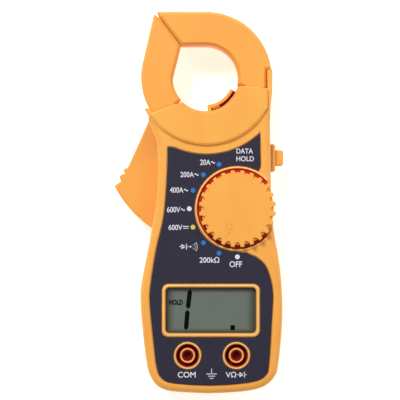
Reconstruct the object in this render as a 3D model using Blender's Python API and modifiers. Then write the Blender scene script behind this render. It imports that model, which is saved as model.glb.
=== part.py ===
"""A hand-held clamp meter, built from separate solids.

The meter lies on its back: +X is to the right of someone facing it, +Y points to the jaws and +Z out of the
front. The origin is on the flat back. Sizes are in millimetres, and MM turns them into metres when a mesh is
made.
"""

import math

import bmesh
import bpy
from mathutils import Matrix, Vector

MM = 0.001
GAP = 0.3  # between pieces that touch

# Case
CASE_DEPTH = 32.0
WALL = 2.0
FRONT_WALL = 2.5
CASE_ROUNDING = 3.4
BOSS_RISE = 2.0
BOSS_RADIUS = 35.6
BOSS_ROUNDING = 1.2

# Jaws
RING = Vector((-2.9, 65.3))
RING_RADIUS = 34.2
HOLE = Vector((-3.4, 65.0))
HOLE_RADIUS = 17.2
HOLE_FLARE = 1.3
HOLE_WALL = 2.4
JAW_PLAY = 2.5  # from the jaws to the front wall
SPRING_ROOM = 5.0  # from the back wall to the jaws
JAW_WALL = 1.6
JAW_CHAMFER = 1.3
SPLIT_ANGLE = 127.2
STRIP_INNER_X = 28.9
JAW_PAD = (18.8, 52.8)
PIVOT = Vector((1.5, 35.6))
PIN_RADIUS = 2.0
KNUCKLE_RADIUS = 6.0
TRIGGER_RADIUS = 59.4
CORE_INNER = 22.3
CORE_OUTER = 28.3
CORE_THICKNESS = 10.0

# Selector
KNOB = Vector((13.2, -3.5))
KNOB_RADIUS = 19.8
KNOB_TEETH = 24
KNOB_HEIGHT = 5.9
KNOB_SCALLOP = 2.4
RECESS_RADIUS = 21.0
RECESS_DEPTH = 1.2
STEM_RADIUS = 4.5
CARRIER_RADIUS = 14.0
CARRIER_LIFT = 0.5  # above the board
BALL_ANGLES = (0.0, 180.0)
BALL_TRACK = 10.5
BALL_RADIUS = 1.0
WIPER_ANGLES = (60.0, 120.0, 270.0)

# Front details
LABEL_THICKNESS = 0.3
WINDOW = Vector((-0.6, -56.4))
WINDOW_WIDTH = 47.0
WINDOW_HEIGHT = 23.7
WINDOW_RIM = 1.9
RIM_RISE = 0.5
JACK_X = 12.7
JACK_Y = -79.9
JACK_RIM_RADIUS = 7.1
JACK_WELL_RADIUS = 6.0
JACK_BARREL_RADIUS = 3.9
JACK_BORE_RADIUS = 3.0
PLUG_BORE_RADIUS = 2.0
WELL_DEPTH = 7.5

# Hold button
BUTTON_Y = 23.1
BUTTON_SIDE = 8.4
BUTTON_TIP_X = 37.5
COLLAR_SIDE = 15.2
COLLAR_X = 33.2
COLLAR_LENGTH = 4.6
BUTTON_ROOT_X = 27.0
FLANGE_REACH = 1.2
FLANGE_THICKNESS = 1.8

# Inside
BOARD_DROP = 8.0  # from the front wall to the board's back
BOARD_THICKNESS = 1.6
CELL_RADIUS = 5.15
CELL_LENGTH = 43.7
CELL_NUB = 0.8
BAY_WIDTH = 34.0
BAY_LOW_Y = -94.0
BAY_HIGH_Y = -38.5
BAY_HEADROOM = 1.3
BAY_WALL = 1.5
DOOR_THICKNESS = 1.8
DOOR_HEAD_DEPTH = 1.2
DOOR_SCREW = (0.0, -42.0)
SCREW_RADIUS = 1.3
SCREW_HEAD_RADIUS = 2.5
POST_RADIUS = 4.2
POSTS = ((24.5, 38.5), (-29.5, -33.0), (-26.0, -87.0), (25.5, -87.0))

# Worked out from the sizes above
CAVITY_TOP = CASE_DEPTH - FRONT_WALL
JAW_BACK = WALL + SPRING_ROOM
JAW_FRONT = CAVITY_TOP - JAW_PLAY
PARTING = (JAW_BACK + JAW_FRONT) / 2  # height of the joint between the two halves of every shell
BOARD_BOTTOM = CAVITY_TOP - BOARD_DROP
TRIGGER_TOP = BOARD_BOTTOM - 2.0
CELL_Z = DOOR_THICKNESS + 0.6 + CELL_RADIUS
BAY_TOP = CELL_Z + CELL_RADIUS + BAY_HEADROOM
SOCKET_BOTTOM = BAY_TOP + BAY_WALL + 0.7
RECESS_FLOOR = CASE_DEPTH - RECESS_DEPTH
BOARD_TOP = BOARD_BOTTOM + BOARD_THICKNESS
INNER_HOLE = HOLE_RADIUS + HOLE_WALL + 0.7  # where the jaws run behind the case's own wall
LEFT_CORNER = (-31.3, 46.3)
LEFT_LINE_END = (-16.6, 51.6)
RIGHT_LINE_END = (14.2, 60.3)
RIGHT_CORNER = (30.9, 58.9)
TALL = 60.0  # reach of a cutter that has to pass right through

parts = bpy.data.collections.new("clamp_meter")
cutters = bpy.data.collections.new("cutters")


# ---------------------------------------------------------------- outlines


def polar(centre, radius, degrees):
    """The point at an angle and distance from a centre."""
    angle = math.radians(degrees)
    return (centre[0] + radius * math.cos(angle), centre[1] + radius * math.sin(angle))


def arc(centre, radius, start, end, step=9.0):
    """Points along an arc, both ends included, about one every step degrees."""
    count = max(2, round(abs(end - start) / step))
    return [polar(centre, radius, start + (end - start) * i / count) for i in range(count + 1)]


def sector(centre, inner, outer, start, end, step=9.0):
    """The outline of a ring's sector."""
    return arc(centre, outer, start, end, step) + arc(centre, inner, end, start, step)


def smooth(points, steps=1):
    """A curve through the points, by Catmull-Rom, with both ends included."""
    knots = [Vector(p) for p in points]
    knots = [2 * knots[0] - knots[1], *knots, 2 * knots[-1] - knots[-2]]
    made = []
    for a, b, c, d in zip(knots, knots[1:], knots[2:], knots[3:], strict=False):
        for i in range(steps):
            t = i / steps
            curved = (2 * a - 5 * b + 4 * c - d) * t**2 + (3 * b - a - 3 * c + d) * t**3
            made.append(0.5 * (2 * b + (c - a) * t + curved))
    return [tuple(p) for p in made] + [tuple(knots[-2])]


def rectangle(centre, width, height, corner=0.0):
    """A rectangle about a centre, with round corners if a radius is given."""
    x, y = width / 2 - corner, height / 2 - corner
    if not corner:
        return [(centre[0] + i * x, centre[1] + j * y) for i, j in ((1, 1), (-1, 1), (-1, -1), (1, -1))]
    corners = (((x, y), 0), ((-x, y), 90), ((-x, -y), 180), ((x, -y), 270))
    made = []
    for (dx, dy), start in corners:
        made += arc((centre[0] + dx, centre[1] + dy), corner, start, start + 90, 30.0)
    return made


def signed_area(points):
    """The outline's area, which is negative if it runs clockwise."""
    return sum(a[0] * b[1] - b[0] * a[1] for a, b in zip(points, points[1:] + points[:1], strict=True)) / 2


def inset(points, distance):
    """The outline moved inwards by a distance, with mitred corners; a negative distance grows it."""
    if signed_area(points) < 0:
        points = points[::-1]
    made = []
    for before, here, after in zip(points[-1:] + points[:-1], points, points[1:] + points[:1], strict=True):
        first = (Vector(here) - Vector(before)).normalized()
        second = (Vector(after) - Vector(here)).normalized()
        normal = Vector((-first.y - second.y, first.x + second.x)).normalized()
        reach = max(0.35, normal.dot(Vector((-first.y, first.x))))
        made.append(tuple(Vector(here) + normal * distance / reach))
    return made


# ---------------------------------------------------------------- solids


def material(name, colour, roughness, metallic=0.0):
    """A Principled material."""
    made = bpy.data.materials.new(name)
    made.use_nodes = True
    made.diffuse_color = (*colour, 1.0)
    shader = made.node_tree.nodes["Principled BSDF"]
    shader.inputs["Base Color"].default_value = (*colour, 1.0)
    shader.inputs["Roughness"].default_value = roughness
    shader.inputs["Metallic"].default_value = metallic
    return made


def place(name, mesh, finish):
    """A new object for the mesh: a part if it has a finish, or else a hidden cutter."""
    obj = bpy.data.objects.new(name, mesh)
    if finish:
        parts.objects.link(obj)
        mesh.materials.append(finish)
    else:
        cutters.objects.link(obj)
        obj.hide_render = True
        obj.display_type = "WIRE"
    return obj


def prism(name, outline, bottom, top, finish=None):
    """A flat outline with straight sides, made as a filled and extruded curve."""
    curve = bpy.data.curves.new(name, "CURVE")
    curve.dimensions = "2D"
    curve.fill_mode = "BOTH"
    curve.extrude = (top - bottom) / 2 * MM
    spline = curve.splines.new("POLY")
    spline.points.add(len(outline) - 1)
    for point, (x, y) in zip(spline.points, outline, strict=True):
        point.co = (x * MM, y * MM, 0.0, 1.0)
    spline.use_cyclic_u = True
    guide = bpy.data.objects.new(name + "_curve", curve)
    guide.location.z = (top + bottom) / 2 * MM
    bpy.context.scene.collection.objects.link(guide)
    bpy.context.view_layer.update()
    mesh = bpy.data.meshes.new_from_object(guide.evaluated_get(bpy.context.evaluated_depsgraph_get()))
    mesh.transform(guide.matrix_world)
    bpy.data.objects.remove(guide)
    shape = bmesh.new()
    shape.from_mesh(mesh)
    bmesh.ops.remove_doubles(shape, verts=shape.verts, dist=1e-6)
    bmesh.ops.recalc_face_normals(shape, faces=shape.faces)
    shape.to_mesh(mesh)
    shape.free()
    return place(name, mesh, finish)


def from_bmesh(name, shape, finish):
    """A part or cutter made from a bmesh in metres."""
    mesh = bpy.data.meshes.new(name)
    shape.to_mesh(mesh)
    shape.free()
    return place(name, mesh, finish)


def cylinder(name, centre, radius, bottom, top, finish=None, segments=32, axis="Z"):
    """A cylinder from bottom to top along an axis; centre gives its other two coordinates in X, Y, Z order."""
    shape = bmesh.new()
    bmesh.ops.create_cone(
        shape, cap_ends=True, segments=segments, radius1=radius * MM, radius2=radius * MM, depth=(top - bottom) * MM
    )
    middle = (top + bottom) / 2
    turn, where = {
        "X": (Matrix.Rotation(math.radians(90), 4, "Y"), (middle, centre[0], centre[1])),
        "Y": (Matrix.Rotation(math.radians(90), 4, "X"), (centre[0], middle, centre[1])),
        "Z": (Matrix.Identity(4), (centre[0], centre[1], middle)),
    }[axis]
    bmesh.ops.transform(shape, matrix=Matrix.Translation(Vector(where) * MM) @ turn, verts=shape.verts)
    return from_bmesh(name, shape, finish)


def box(name, low, high, finish=None):
    """A block between two corners."""
    shape = bmesh.new()
    bmesh.ops.create_cube(shape, size=1.0)
    size = (Vector(high) - Vector(low)) * MM
    middle = (Vector(high) + Vector(low)) / 2 * MM
    bmesh.ops.transform(shape, matrix=Matrix.Translation(middle) @ Matrix.Diagonal((*size, 1.0)), verts=shape.verts)
    return from_bmesh(name, shape, finish)


def turned(name, centre, profile, finish=None, steps=32, matrix=None):
    """A round piece, turned by a Screw from (radius, height) points that run down its outer side.

    A profile that starts and ends at radius 0 makes a solid; any other is closed into a loop, as for a tube.
    """
    solid = profile[0][0] == 0 and profile[-1][0] == 0
    place_at = Matrix.Translation(Vector((centre[0], centre[1], 0.0)) * MM)
    mesh = bpy.data.meshes.new(name)
    edges = [(i, i + 1) for i in range(len(profile) - 1)]
    if not solid:
        edges.append((len(profile) - 1, 0))
    mesh.from_pydata([(r * MM, 0.0, z * MM) for r, z in profile], edges, [])
    obj = place(name, mesh, finish)
    obj.matrix_world = matrix if matrix is not None else place_at
    spin = obj.modifiers.new("Turn", "SCREW")
    spin.steps = spin.render_steps = steps
    spin.use_merge_vertices = True
    spin.merge_threshold = 1e-5
    return obj


def wire(name, points, radius, finish):
    """A wire of round section along the points, in millimetres."""
    curve = bpy.data.curves.new(name, "CURVE")
    curve.dimensions = "3D"
    curve.bevel_depth = radius * MM
    curve.bevel_resolution = 1
    curve.use_fill_caps = True
    spline = curve.splines.new("POLY")
    spline.points.add(len(points) - 1)
    for point, where in zip(spline.points, points, strict=True):
        point.co = (*(Vector(where) * MM), 1.0)
    obj = bpy.data.objects.new(name, curve)
    curve.materials.append(finish)
    parts.objects.link(obj)
    return obj


def helix(centre, radius, bottom, top, turns, steps=10, axis="Z"):
    """Points of a coil about a line through the centre."""
    count = round(turns * steps)
    made = []
    for i in range(count + 1):
        x, y = polar(centre, radius, 360.0 * i / steps)
        z = bottom + (top - bottom) * i / count
        made.append((x, z, y) if axis == "Y" else (x, y, z))
    return made


def round_ends(obj, width, segments, width_at=lambda point: 1.0):
    """Bevels the outlines of a prism's two ends, with a share of the full width at each edge."""
    mesh = obj.data
    shape = bmesh.new()
    shape.from_mesh(mesh)
    bmesh.ops.dissolve_limit(shape, angle_limit=math.radians(0.1), verts=shape.verts, edges=shape.edges)
    shape.to_mesh(mesh)
    shape.free()
    heights = [v.co.z for v in mesh.vertices]
    low, high = min(heights), max(heights)
    weights = mesh.attributes.new("bevel_weight_edge", "FLOAT", "EDGE")
    for edge in mesh.edges:
        a, b = (mesh.vertices[i].co for i in edge.vertices)
        at_end = abs(a.z - b.z) < 1e-6 and (a.z - low < 1e-6 or high - a.z < 1e-6)
        weights.data[edge.index].value = width_at((a + b) / 2 / MM) if at_end else 0.0
    bevel = obj.modifiers.new("Rounding", "BEVEL")
    bevel.limit_method = "WEIGHT"
    bevel.width = width * MM
    bevel.segments = segments
    bevel.use_clamp_overlap = False
    obj.modifiers.new("Triangles", "TRIANGULATE")
    return obj


def boolean(target, tool, operation):
    """Adds one Boolean to the target."""
    modifier = target.modifiers.new(f"{operation.title()} {tool.name}", "BOOLEAN")
    modifier.operation = operation
    modifier.solver = "MANIFOLD"  # EXACT loses faces where thin walls meet round cutters
    modifier.object = tool
    if tool.name not in cutters.objects:
        raise ValueError(f"{tool.name} has a finish, so it can't be a cutter")
    return target


def cut(target, *tools):
    """Takes the tools away from the target."""
    for tool in tools:
        boolean(target, tool, "DIFFERENCE")
    return target


def join(target, *tools):
    """Adds the tools to the target."""
    for tool in tools:
        boolean(target, tool, "UNION")
    return target


def keep_half(obj, front):
    """Cuts a shell at the parting plane, with half the gap taken from each side."""
    low, high = (-TALL, PARTING + GAP / 2) if front else (PARTING - GAP / 2, TALL)
    return cut(obj, box(obj.name + "_half", (-TALL * 2, -TALL * 2, low), (TALL * 2, TALL * 2, high)))


def shade(obj):
    """Smooth shading with sharp creases kept."""
    if obj.type == "MESH":
        obj.data.shade_smooth()
        obj.data.set_sharp_from_angle(angle=math.radians(35))
    return obj


# ---------------------------------------------------------------- shapes shared by several pieces


def case_outline():
    """The outline of the case seen from the front, without the strip beside the jaws."""
    right = smooth(
        [
            (-1.9, -99.9), (14.7, -99.0), (24.6, -97.2), (30.0, -94.2), (33.3, -90.0), (34.6, -85.0), (36.2, -70.0),
            (36.8, -57.0), (36.3, -43.0), (34.9, -30.0), (33.2, -20.5), (31.9, -11.0), (30.8, 10.0), (30.4, 35.0),
            (30.4, 48.0),
        ]
    )  # fmt: skip
    left = smooth(
        [
            (-28.7, 30.7), (-28.4, 20.0), (-29.1, 2.9), (-31.4, -14.0), (-34.0, -27.5), (-36.6, -41.0), (-37.4, -50.0),
            (-36.6, -63.0), (-35.0, -78.0), (-33.6, -87.0), (-31.7, -91.8), (-29.1, -95.4), (-25.1, -97.7),
            (-18.5, -99.0),
        ]
    )  # fmt: skip
    return [*right, RIGHT_CORNER, RIGHT_LINE_END, LEFT_LINE_END, LEFT_CORNER, (-33.0, 42.6), *left]


def label_outline():
    """The sheet round the knob: two long sides, a hollow top below the boss and a bay for the knob."""
    knob_bay = RECESS_RADIUS + 1.4
    left = smooth(
        [
            (-23.1, 28.8), (-23.4, 15.0), (-25.1, -7.1), (-29.1, -25.0), (-32.0, -43.6), (-32.3, -54.0),
            (-30.1, -75.7), (-29.1, -84.2), (-27.7, -89.6), (-25.1, -92.6), (-21.1, -94.1), (-11.8, -95.1),
        ]
    )  # fmt: skip
    right = smooth(
        [
            (-1.9, -95.5), (8.1, -95.1), (18.0, -94.1), (24.6, -92.6), (28.0, -90.0), (29.6, -85.0), (31.2, -60.0),
            (31.6, -46.0), (28.7, -34.6), (24.0, -29.3), (18.0, -26.5),
        ]
    )  # fmt: skip
    bay = arc(KNOB, knob_bay, 267.0, 61.0, 12.0)
    top = arc(RING, RING_RADIUS + 6.3, 313.5, 246.0, 10.0)
    return [*left, *right, *bay, (25.3, 18.2), (25.0, 34.7), *top]


def split_point(radius, side):
    """A point of the split face between the jaws; side is 1 on the moving jaw and -1 on the fixed one."""
    across = Vector(polar((0, 0), 1.0, SPLIT_ANGLE + 90.0))
    return tuple(Vector(polar(HOLE, radius, SPLIT_ANGLE)) + across * side * GAP / 2)


def moving_ring_outline():
    """The moving jaw's ring, with the knuckle round its pivot."""
    return [
        split_point(21.4, 1),
        split_point(39.4, 1),
        (-30.3, 98.3),
        *arc(RING, RING_RADIUS, 169.0, 262.0),
        *arc(PIVOT, KNUCKLE_RADIUS, 235.0, 425.0, 20.0),
        *arc(HOLE, INNER_HOLE, 283.0, 222.0),  # a wider arc would meet the window's wall as the jaw swings
        *arc(HOLE, HOLE_RADIUS, 221.0, 180.0),
    ]


def fixed_ring_outline():
    """The fixed jaw's ring, down to where it stands inside the case."""
    inside_case = RING_RADIUS - 3.6
    return [
        split_point(21.4, -1),
        split_point(39.4, -1),
        (-28.8, RING.y + RING_RADIUS),
        *arc(RING, RING_RADIUS, 90.0, 7.0),
        (STRIP_INNER_X - GAP, 69.4),
        (STRIP_INNER_X - GAP, 60.0),
        *arc(RING, inside_case, -14.0, -66.0),
        *arc(HOLE, INNER_HOLE, -64.0, -13.0),
        *arc(HOLE, HOLE_RADIUS, -12.0, 90.0),
    ]


def trigger_outline():
    """The fin: a straight back, three teeth for the thumb, and an arc about the pivot."""
    return [
        (-32.8, 44.1), (-37.1, 34.0), (-44.3, 18.2), (-46.8, 17.2), (-45.8, 15.2), (-48.9, 13.8), (-47.9, 11.0),
        *arc(PIVOT, TRIGGER_RADIUS, 207.1, 238.0, 6.0), (-27.5, -6.0), (-22.0, 22.0), (-17.0, 38.5), (-24.0, 46.5),
    ]  # fmt: skip


def boss_outline():
    """The raised disc below the jaws: a straight top and an arc about the ring."""
    top = [LEFT_CORNER, LEFT_LINE_END, RIGHT_LINE_END, (28.6, 59.1), (29.0, 54.0)]
    return [*top, *arc(RING, BOSS_RADIUS, -27.0, -146.0)]


def jaw_core(name, start, end, finish=None, play=0.0):
    """A stretch of the magnetic core, or the room that it needs."""
    return prism(
        name,
        sector(HOLE, CORE_INNER - play, CORE_OUTER + play, start, end),
        PARTING - CORE_THICKNESS / 2 - play,
        PARTING + CORE_THICKNESS / 2 + play,
        finish,
    )


# ---------------------------------------------------------------- case


def hole_cutter(name):
    """The jaw window, flared towards both faces."""
    back_flare, front_flare = -BOSS_RISE, CASE_DEPTH + BOSS_RISE
    profile = [
        (0, TALL),
        (HOLE_RADIUS + HOLE_FLARE, TALL),
        (HOLE_RADIUS + HOLE_FLARE, front_flare),
        (HOLE_RADIUS + HOLE_FLARE * 0.3, CAVITY_TOP),
        (HOLE_RADIUS, PARTING),
        (HOLE_RADIUS + HOLE_FLARE * 0.3, WALL),
        (HOLE_RADIUS + HOLE_FLARE, back_flare),
        (HOLE_RADIUS + HOLE_FLARE, -TALL),
        (0, -TALL),
    ]
    return turned(name, HOLE, profile, steps=48)


def jaw_slot(name):
    """Room for the jaws between the two walls, kept clear of the wall round the window."""
    clear = 0.5
    profile = [
        (RING_RADIUS + 0.7, JAW_FRONT + clear),
        (RING_RADIUS + 0.7, JAW_BACK - clear),
        (HOLE_RADIUS + HOLE_WALL + 0.3, JAW_BACK - clear),
        (HOLE_RADIUS + HOLE_WALL + 0.3, JAW_FRONT + clear),
    ]
    return turned(name, HOLE, profile, steps=48)


def case_blank(name, finish):
    """What both halves share: the rounded outer shape, hollowed, with the window, the slots and the collar."""
    body = round_ends(
        prism(name, case_outline(), 0.0, CASE_DEPTH, finish),
        CASE_ROUNDING,
        2,
        lambda point: 0.3 if point.y > RIGHT_LINE_END[1] - 14.0 else 1.0,
    )
    cut(body, prism(name + "_cavity", inset(case_outline(), WALL), WALL, CAVITY_TOP))
    window_wall = sector(HOLE, HOLE_RADIUS - 1.0, HOLE_RADIUS + HOLE_WALL, 227.0, 341.0)
    join(body, prism(name + "_window_wall", window_wall, WALL - 1.0, CAVITY_TOP + 1.0))
    cut(
        body,
        hole_cutter(name + "_window"),
        jaw_slot(name + "_jaw_slot"),
        box(name + "_fin_slot", (-TALL, -16.0, JAW_BACK - 1.0), (-20.0, 24.5, TRIGGER_TOP + 0.8)),
        box(name + "_jaw_side_slot", (-TALL, 24.0, JAW_BACK - 1.0), (-24.0, 52.0, JAW_FRONT + 0.8)),
    )
    strip = [(STRIP_INNER_X, 69.2), (31.6, 69.2), (31.4, 58.0), (30.4, 46.0), (28.5, 46.0), (STRIP_INNER_X, 58.0)]
    join(body, prism(name + "_strip", strip, WALL + 2.0, CAVITY_TOP - 1.0))
    half = COLLAR_SIDE / 2
    collar_low = (COLLAR_X - COLLAR_LENGTH, BUTTON_Y - half, PARTING - half)
    join(body, box(name + "_collar", collar_low, (COLLAR_X, BUTTON_Y + half, PARTING + half)))
    return body


def button_bore(name):
    """The square way for the hold button through the collar and the wall."""
    half = BUTTON_SIDE / 2 + GAP
    return box(name, (20.0, BUTTON_Y - half, PARTING - half), (TALL, BUTTON_Y + half, PARTING + half))


def make_front_case(finish):
    """The front shell, with the boss, the rims, the wells of the jacks and the guard rib."""
    case = case_blank("front_case", finish)
    join(case, round_ends(prism("boss", boss_outline(), CAVITY_TOP + 0.5, CASE_DEPTH + BOSS_RISE), BOSS_ROUNDING, 1))
    tab = [(-35.3, 48.3), (-33.2, 45.1), (-33.0, 42.6), (-28.0, 42.6), (-31.0, 46.8), (-33.6, 49.1)]
    join(case, prism("left_tab", tab, CAVITY_TOP - 1.3, CASE_DEPTH - 0.6))
    cut(case, hole_cutter("boss_window"))
    cut(case, cylinder("knob_recess", KNOB, RECESS_RADIUS, RECESS_FLOOR, TALL, segments=48))
    cut(case, prism("label_recess", inset(label_outline(), -GAP), CASE_DEPTH - LABEL_THICKNESS - GAP, TALL))
    rim = rectangle(WINDOW, WINDOW_WIDTH + 2 * WINDOW_RIM, WINDOW_HEIGHT + 2 * WINDOW_RIM, 3.4)
    join(case, prism("window_rim", rim, CASE_DEPTH - 1.5, CASE_DEPTH + RIM_RISE))
    for i, (x, y) in enumerate(POSTS):
        join(case, cylinder(f"front_post_{i}", (x, y), POST_RADIUS, PARTING - 1.0, CAVITY_TOP + 1.0, segments=16))
    join(case, cylinder("front_pivot_boss", PIVOT, 4.0, JAW_FRONT + GAP, CAVITY_TOP + 1.0, segments=16))
    join(case, cylinder("front_jaw_pad", JAW_PAD, 3.0, JAW_FRONT + GAP, CAVITY_TOP + 1.0, segments=16))
    for i, x in enumerate((-JACK_X, JACK_X)):
        centre = (x, JACK_Y)
        well_floor = CASE_DEPTH - WELL_DEPTH
        join(case, cylinder(f"well_{i}", centre, JACK_RIM_RADIUS, well_floor - 1.0, CASE_DEPTH + RIM_RISE, segments=28))
        ring = [
            (JACK_WELL_RADIUS, TALL),
            (JACK_WELL_RADIUS, well_floor),
            (JACK_BARREL_RADIUS, well_floor),
            (JACK_BARREL_RADIUS, TALL),
        ]
        cut(case, turned(f"well_ring_{i}", centre, ring, steps=28))
        cut(case, cylinder(f"barrel_top_{i}", centre, JACK_WELL_RADIUS - 1.0, CASE_DEPTH - 0.8, TALL, segments=20))
        cut(case, cylinder(f"jack_bore_{i}", centre, JACK_BORE_RADIUS, 0.0, TALL, segments=20))
    cut(
        case,
        prism("window_opening", rectangle(WINDOW, WINDOW_WIDTH, WINDOW_HEIGHT, 2.0), CAVITY_TOP - 1.0, TALL),
        cylinder("stem_hole", KNOB, STEM_RADIUS + 0.5, 25.0, TALL, segments=20),
        cylinder("front_pin_hole", PIVOT, PIN_RADIUS + GAP, PARTING, CAVITY_TOP + 1.5, segments=24),
        button_bore("front_button_bore"),
    )
    for i, (x, y) in enumerate(POSTS):
        bore = SCREW_RADIUS + GAP
        cut(case, cylinder(f"front_thread_{i}", (x, y), bore, PARTING - 2.0, CAVITY_TOP - 1.0, segments=16))
    rib = sector(HOLE, 14.2, 15.9, -81.0, -24.0, 6.0)
    foot = sector(HOLE, 14.2, HOLE_RADIUS + 1.2, -86.0, -79.0, 3.0)
    join(case, prism("guard_rib", rib, PARTING - 1.0, JAW_FRONT))
    join(case, prism("guard_rib_foot", foot, PARTING - 1.0, JAW_FRONT))
    return keep_half(case, True)


def make_rear_case(finish):
    """The rear shell, with the battery bay and the screw posts."""
    case = case_blank("rear_case", finish)
    middle_y = (BAY_LOW_Y + BAY_HIGH_Y) / 2
    bay_length = BAY_HIGH_Y - BAY_LOW_Y
    outer = rectangle((0.0, middle_y), BAY_WIDTH + 2 * BAY_WALL, bay_length + 2 * BAY_WALL)
    join(case, prism("bay", outer, 1.0, BAY_TOP + BAY_WALL))
    cut(case, prism("bay_inside", rectangle((0.0, middle_y), BAY_WIDTH, bay_length), -TALL, BAY_TOP))
    ledge = DOOR_THICKNESS + GAP
    join(case, cylinder("door_post", DOOR_SCREW, 3.0, ledge, BAY_TOP + 0.5, segments=16))
    cut(case, cylinder("door_thread", DOOR_SCREW, SCREW_RADIUS + GAP, 0.0, BAY_TOP - 2.0, segments=16))
    for i, (x, y) in enumerate(POSTS):
        join(case, cylinder(f"rear_post_{i}", (x, y), POST_RADIUS, 1.0, PARTING + 1.0, segments=16))
    join(case, cylinder("rear_pivot_boss", PIVOT, 3.4, 1.0, JAW_BACK - GAP, segments=16))
    join(case, cylinder("rear_jaw_pad", JAW_PAD, 3.0, 1.0, JAW_BACK - GAP, segments=16))
    cut(case, cylinder("rear_pin_hole", PIVOT, PIN_RADIUS + GAP, 1.2, PARTING, segments=24))
    cut(case, button_bore("rear_button_bore"))
    for i, (x, y) in enumerate(POSTS):
        cut(case, cylinder(f"rear_shank_{i}", (x, y), SCREW_RADIUS + GAP, 1.0, TALL, segments=16))
        cut(case, cylinder(f"rear_counterbore_{i}", (x, y), SCREW_HEAD_RADIUS + GAP, -1.0, 4.0, segments=16))
    return keep_half(case, False)


def make_screw(name, centre, head_bottom, head_height, tip, finish):
    """A pan-head screw pointing up, with a slot in its head."""
    head_top = head_bottom + head_height
    profile = [
        (0, tip),
        (SCREW_RADIUS * 0.5, tip),
        (SCREW_RADIUS, tip - 1.2),
        (SCREW_RADIUS, head_top),
        (SCREW_HEAD_RADIUS, head_top),
        (SCREW_HEAD_RADIUS, head_bottom + 0.4),
        (SCREW_HEAD_RADIUS - 0.4, head_bottom),
        (0, head_bottom),
    ]
    screw = turned(name, centre, profile, finish, steps=16)
    x, y = centre
    return cut(screw, box(name + "_slot", (x - 4.0, y - 0.4, head_bottom - 1.0), (x + 4.0, y + 0.4, head_bottom + 0.5)))


def make_battery_door(finish):
    """The flush door over the cells."""
    middle = (0.0, (BAY_LOW_Y + BAY_HIGH_Y) / 2)
    outline = rectangle(middle, BAY_WIDTH - 2 * GAP, BAY_HIGH_Y - BAY_LOW_Y - 2 * GAP)
    door = prism("battery_door", outline, 0.0, DOOR_THICKNESS, finish)
    cut(door, cylinder("door_hole", DOOR_SCREW, SCREW_RADIUS + GAP, -1.0, TALL, segments=16))
    bore = SCREW_HEAD_RADIUS + GAP
    return cut(door, cylinder("door_counterbore", DOOR_SCREW, bore, -1.0, DOOR_HEAD_DEPTH, segments=16))


# ---------------------------------------------------------------- jaws


def make_jaw(name, ring, finish, front, fin=None):
    """One half of one jaw: a chamfered ring sector with room for its core and coil."""
    jaw = round_ends(prism(name, ring, JAW_BACK, JAW_FRONT, finish), JAW_CHAMFER, 1)
    if fin:
        join(jaw, round_ends(prism(name + "_fin", fin, JAW_BACK, TRIGGER_TOP), 1.0, 1))
    low, high = JAW_BACK + JAW_WALL, JAW_FRONT - JAW_WALL
    wide = (HOLE_RADIUS + JAW_WALL + 1.0, RING_RADIUS - 2.0)
    narrow = INNER_HOLE + JAW_WALL
    if fin:
        rooms = [sector(HOLE, *wide, 142.0, 214.0), sector(HOLE, narrow, wide[1], 210.0, 256.0)]
    else:
        rooms = [
            sector(HOLE, *wide, 18.0, 108.0),
            sector(HOLE, wide[0], 29.3, -8.0, 20.0),
            sector(HOLE, narrow, 28.9, -59.0, -6.0),
        ]
    for i, room in enumerate(rooms):
        cut(jaw, prism(f"{name}_room_{i}", room, low, high))
    cut(jaw, jaw_core(name + "_core_window", *((120.0, 146.0) if fin else (104.0, 134.0)), play=GAP))
    if fin:
        pocket = [(-36.5, 31.0), (-43.5, 15.5), (-45.5, 8.0), (-43.0, 2.0), (-33.0, -8.0), (-29.8, -8.0), (-27.0, 22.0)]
        cut(jaw, prism(name + "_fin_pocket", pocket, low, PARTING + 0.5))
        cut(jaw, cylinder(name + "_pin_hole", PIVOT, PIN_RADIUS + GAP, 0.0, TALL, segments=20))
    return keep_half(jaw, front)


def make_coil(name, start, end, outer, finish):
    """A winding round a stretch of core, open at both ends."""
    grow = 2.4
    low, high = PARTING - CORE_THICKNESS / 2 - grow, PARTING + CORE_THICKNESS / 2 + grow
    coil = prism(name, sector(HOLE, INNER_HOLE + JAW_WALL - 2.0 + 0.4, outer, start, end), low, high, finish)
    return cut(coil, jaw_core(name + "_bore", start - 6.0, end + 6.0, play=GAP))


# ---------------------------------------------------------------- selector


def knob_outline():
    """A circle with evenly spaced round notches, one of them at the top."""
    pitch = 360.0 / KNOB_TEETH
    points = []
    for i in range(KNOB_TEETH):
        middle = 90.0 + i * pitch
        points.append(polar(KNOB, KNOB_RADIUS, middle - pitch / 2))
        points.append(polar(KNOB, KNOB_RADIUS - 0.1, middle - pitch * 0.31))
        points.append(polar(KNOB, KNOB_RADIUS - KNOB_SCALLOP, middle))
        points.append(polar(KNOB, KNOB_RADIUS - 0.1, middle + pitch * 0.31))
    return points


def make_knob(finish):
    """The knob with its skirt and its stem through the board."""
    bottom = RECESS_FLOOR + GAP
    knob = round_ends(prism("selector_knob", knob_outline(), bottom + 1.5, bottom + KNOB_HEIGHT, finish), 0.5, 1)
    skirt = [(0, bottom + 2.4), (KNOB_RADIUS - 1.1, bottom + 2.4), (KNOB_RADIUS - 1.1, bottom), (0, bottom)]
    join(knob, turned("knob_skirt", KNOB, skirt, steps=32))
    stem = [
        (0, bottom + 1.0),
        (STEM_RADIUS, bottom + 1.0),
        (STEM_RADIUS, BOARD_TOP + 1.5),
        (2.2, BOARD_TOP + 1.0),
        (2.2, BOARD_BOTTOM + 0.2),
        (0, BOARD_BOTTOM + 0.2),
    ]
    return join(knob, turned("knob_stem", KNOB, stem, steps=16))


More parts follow.
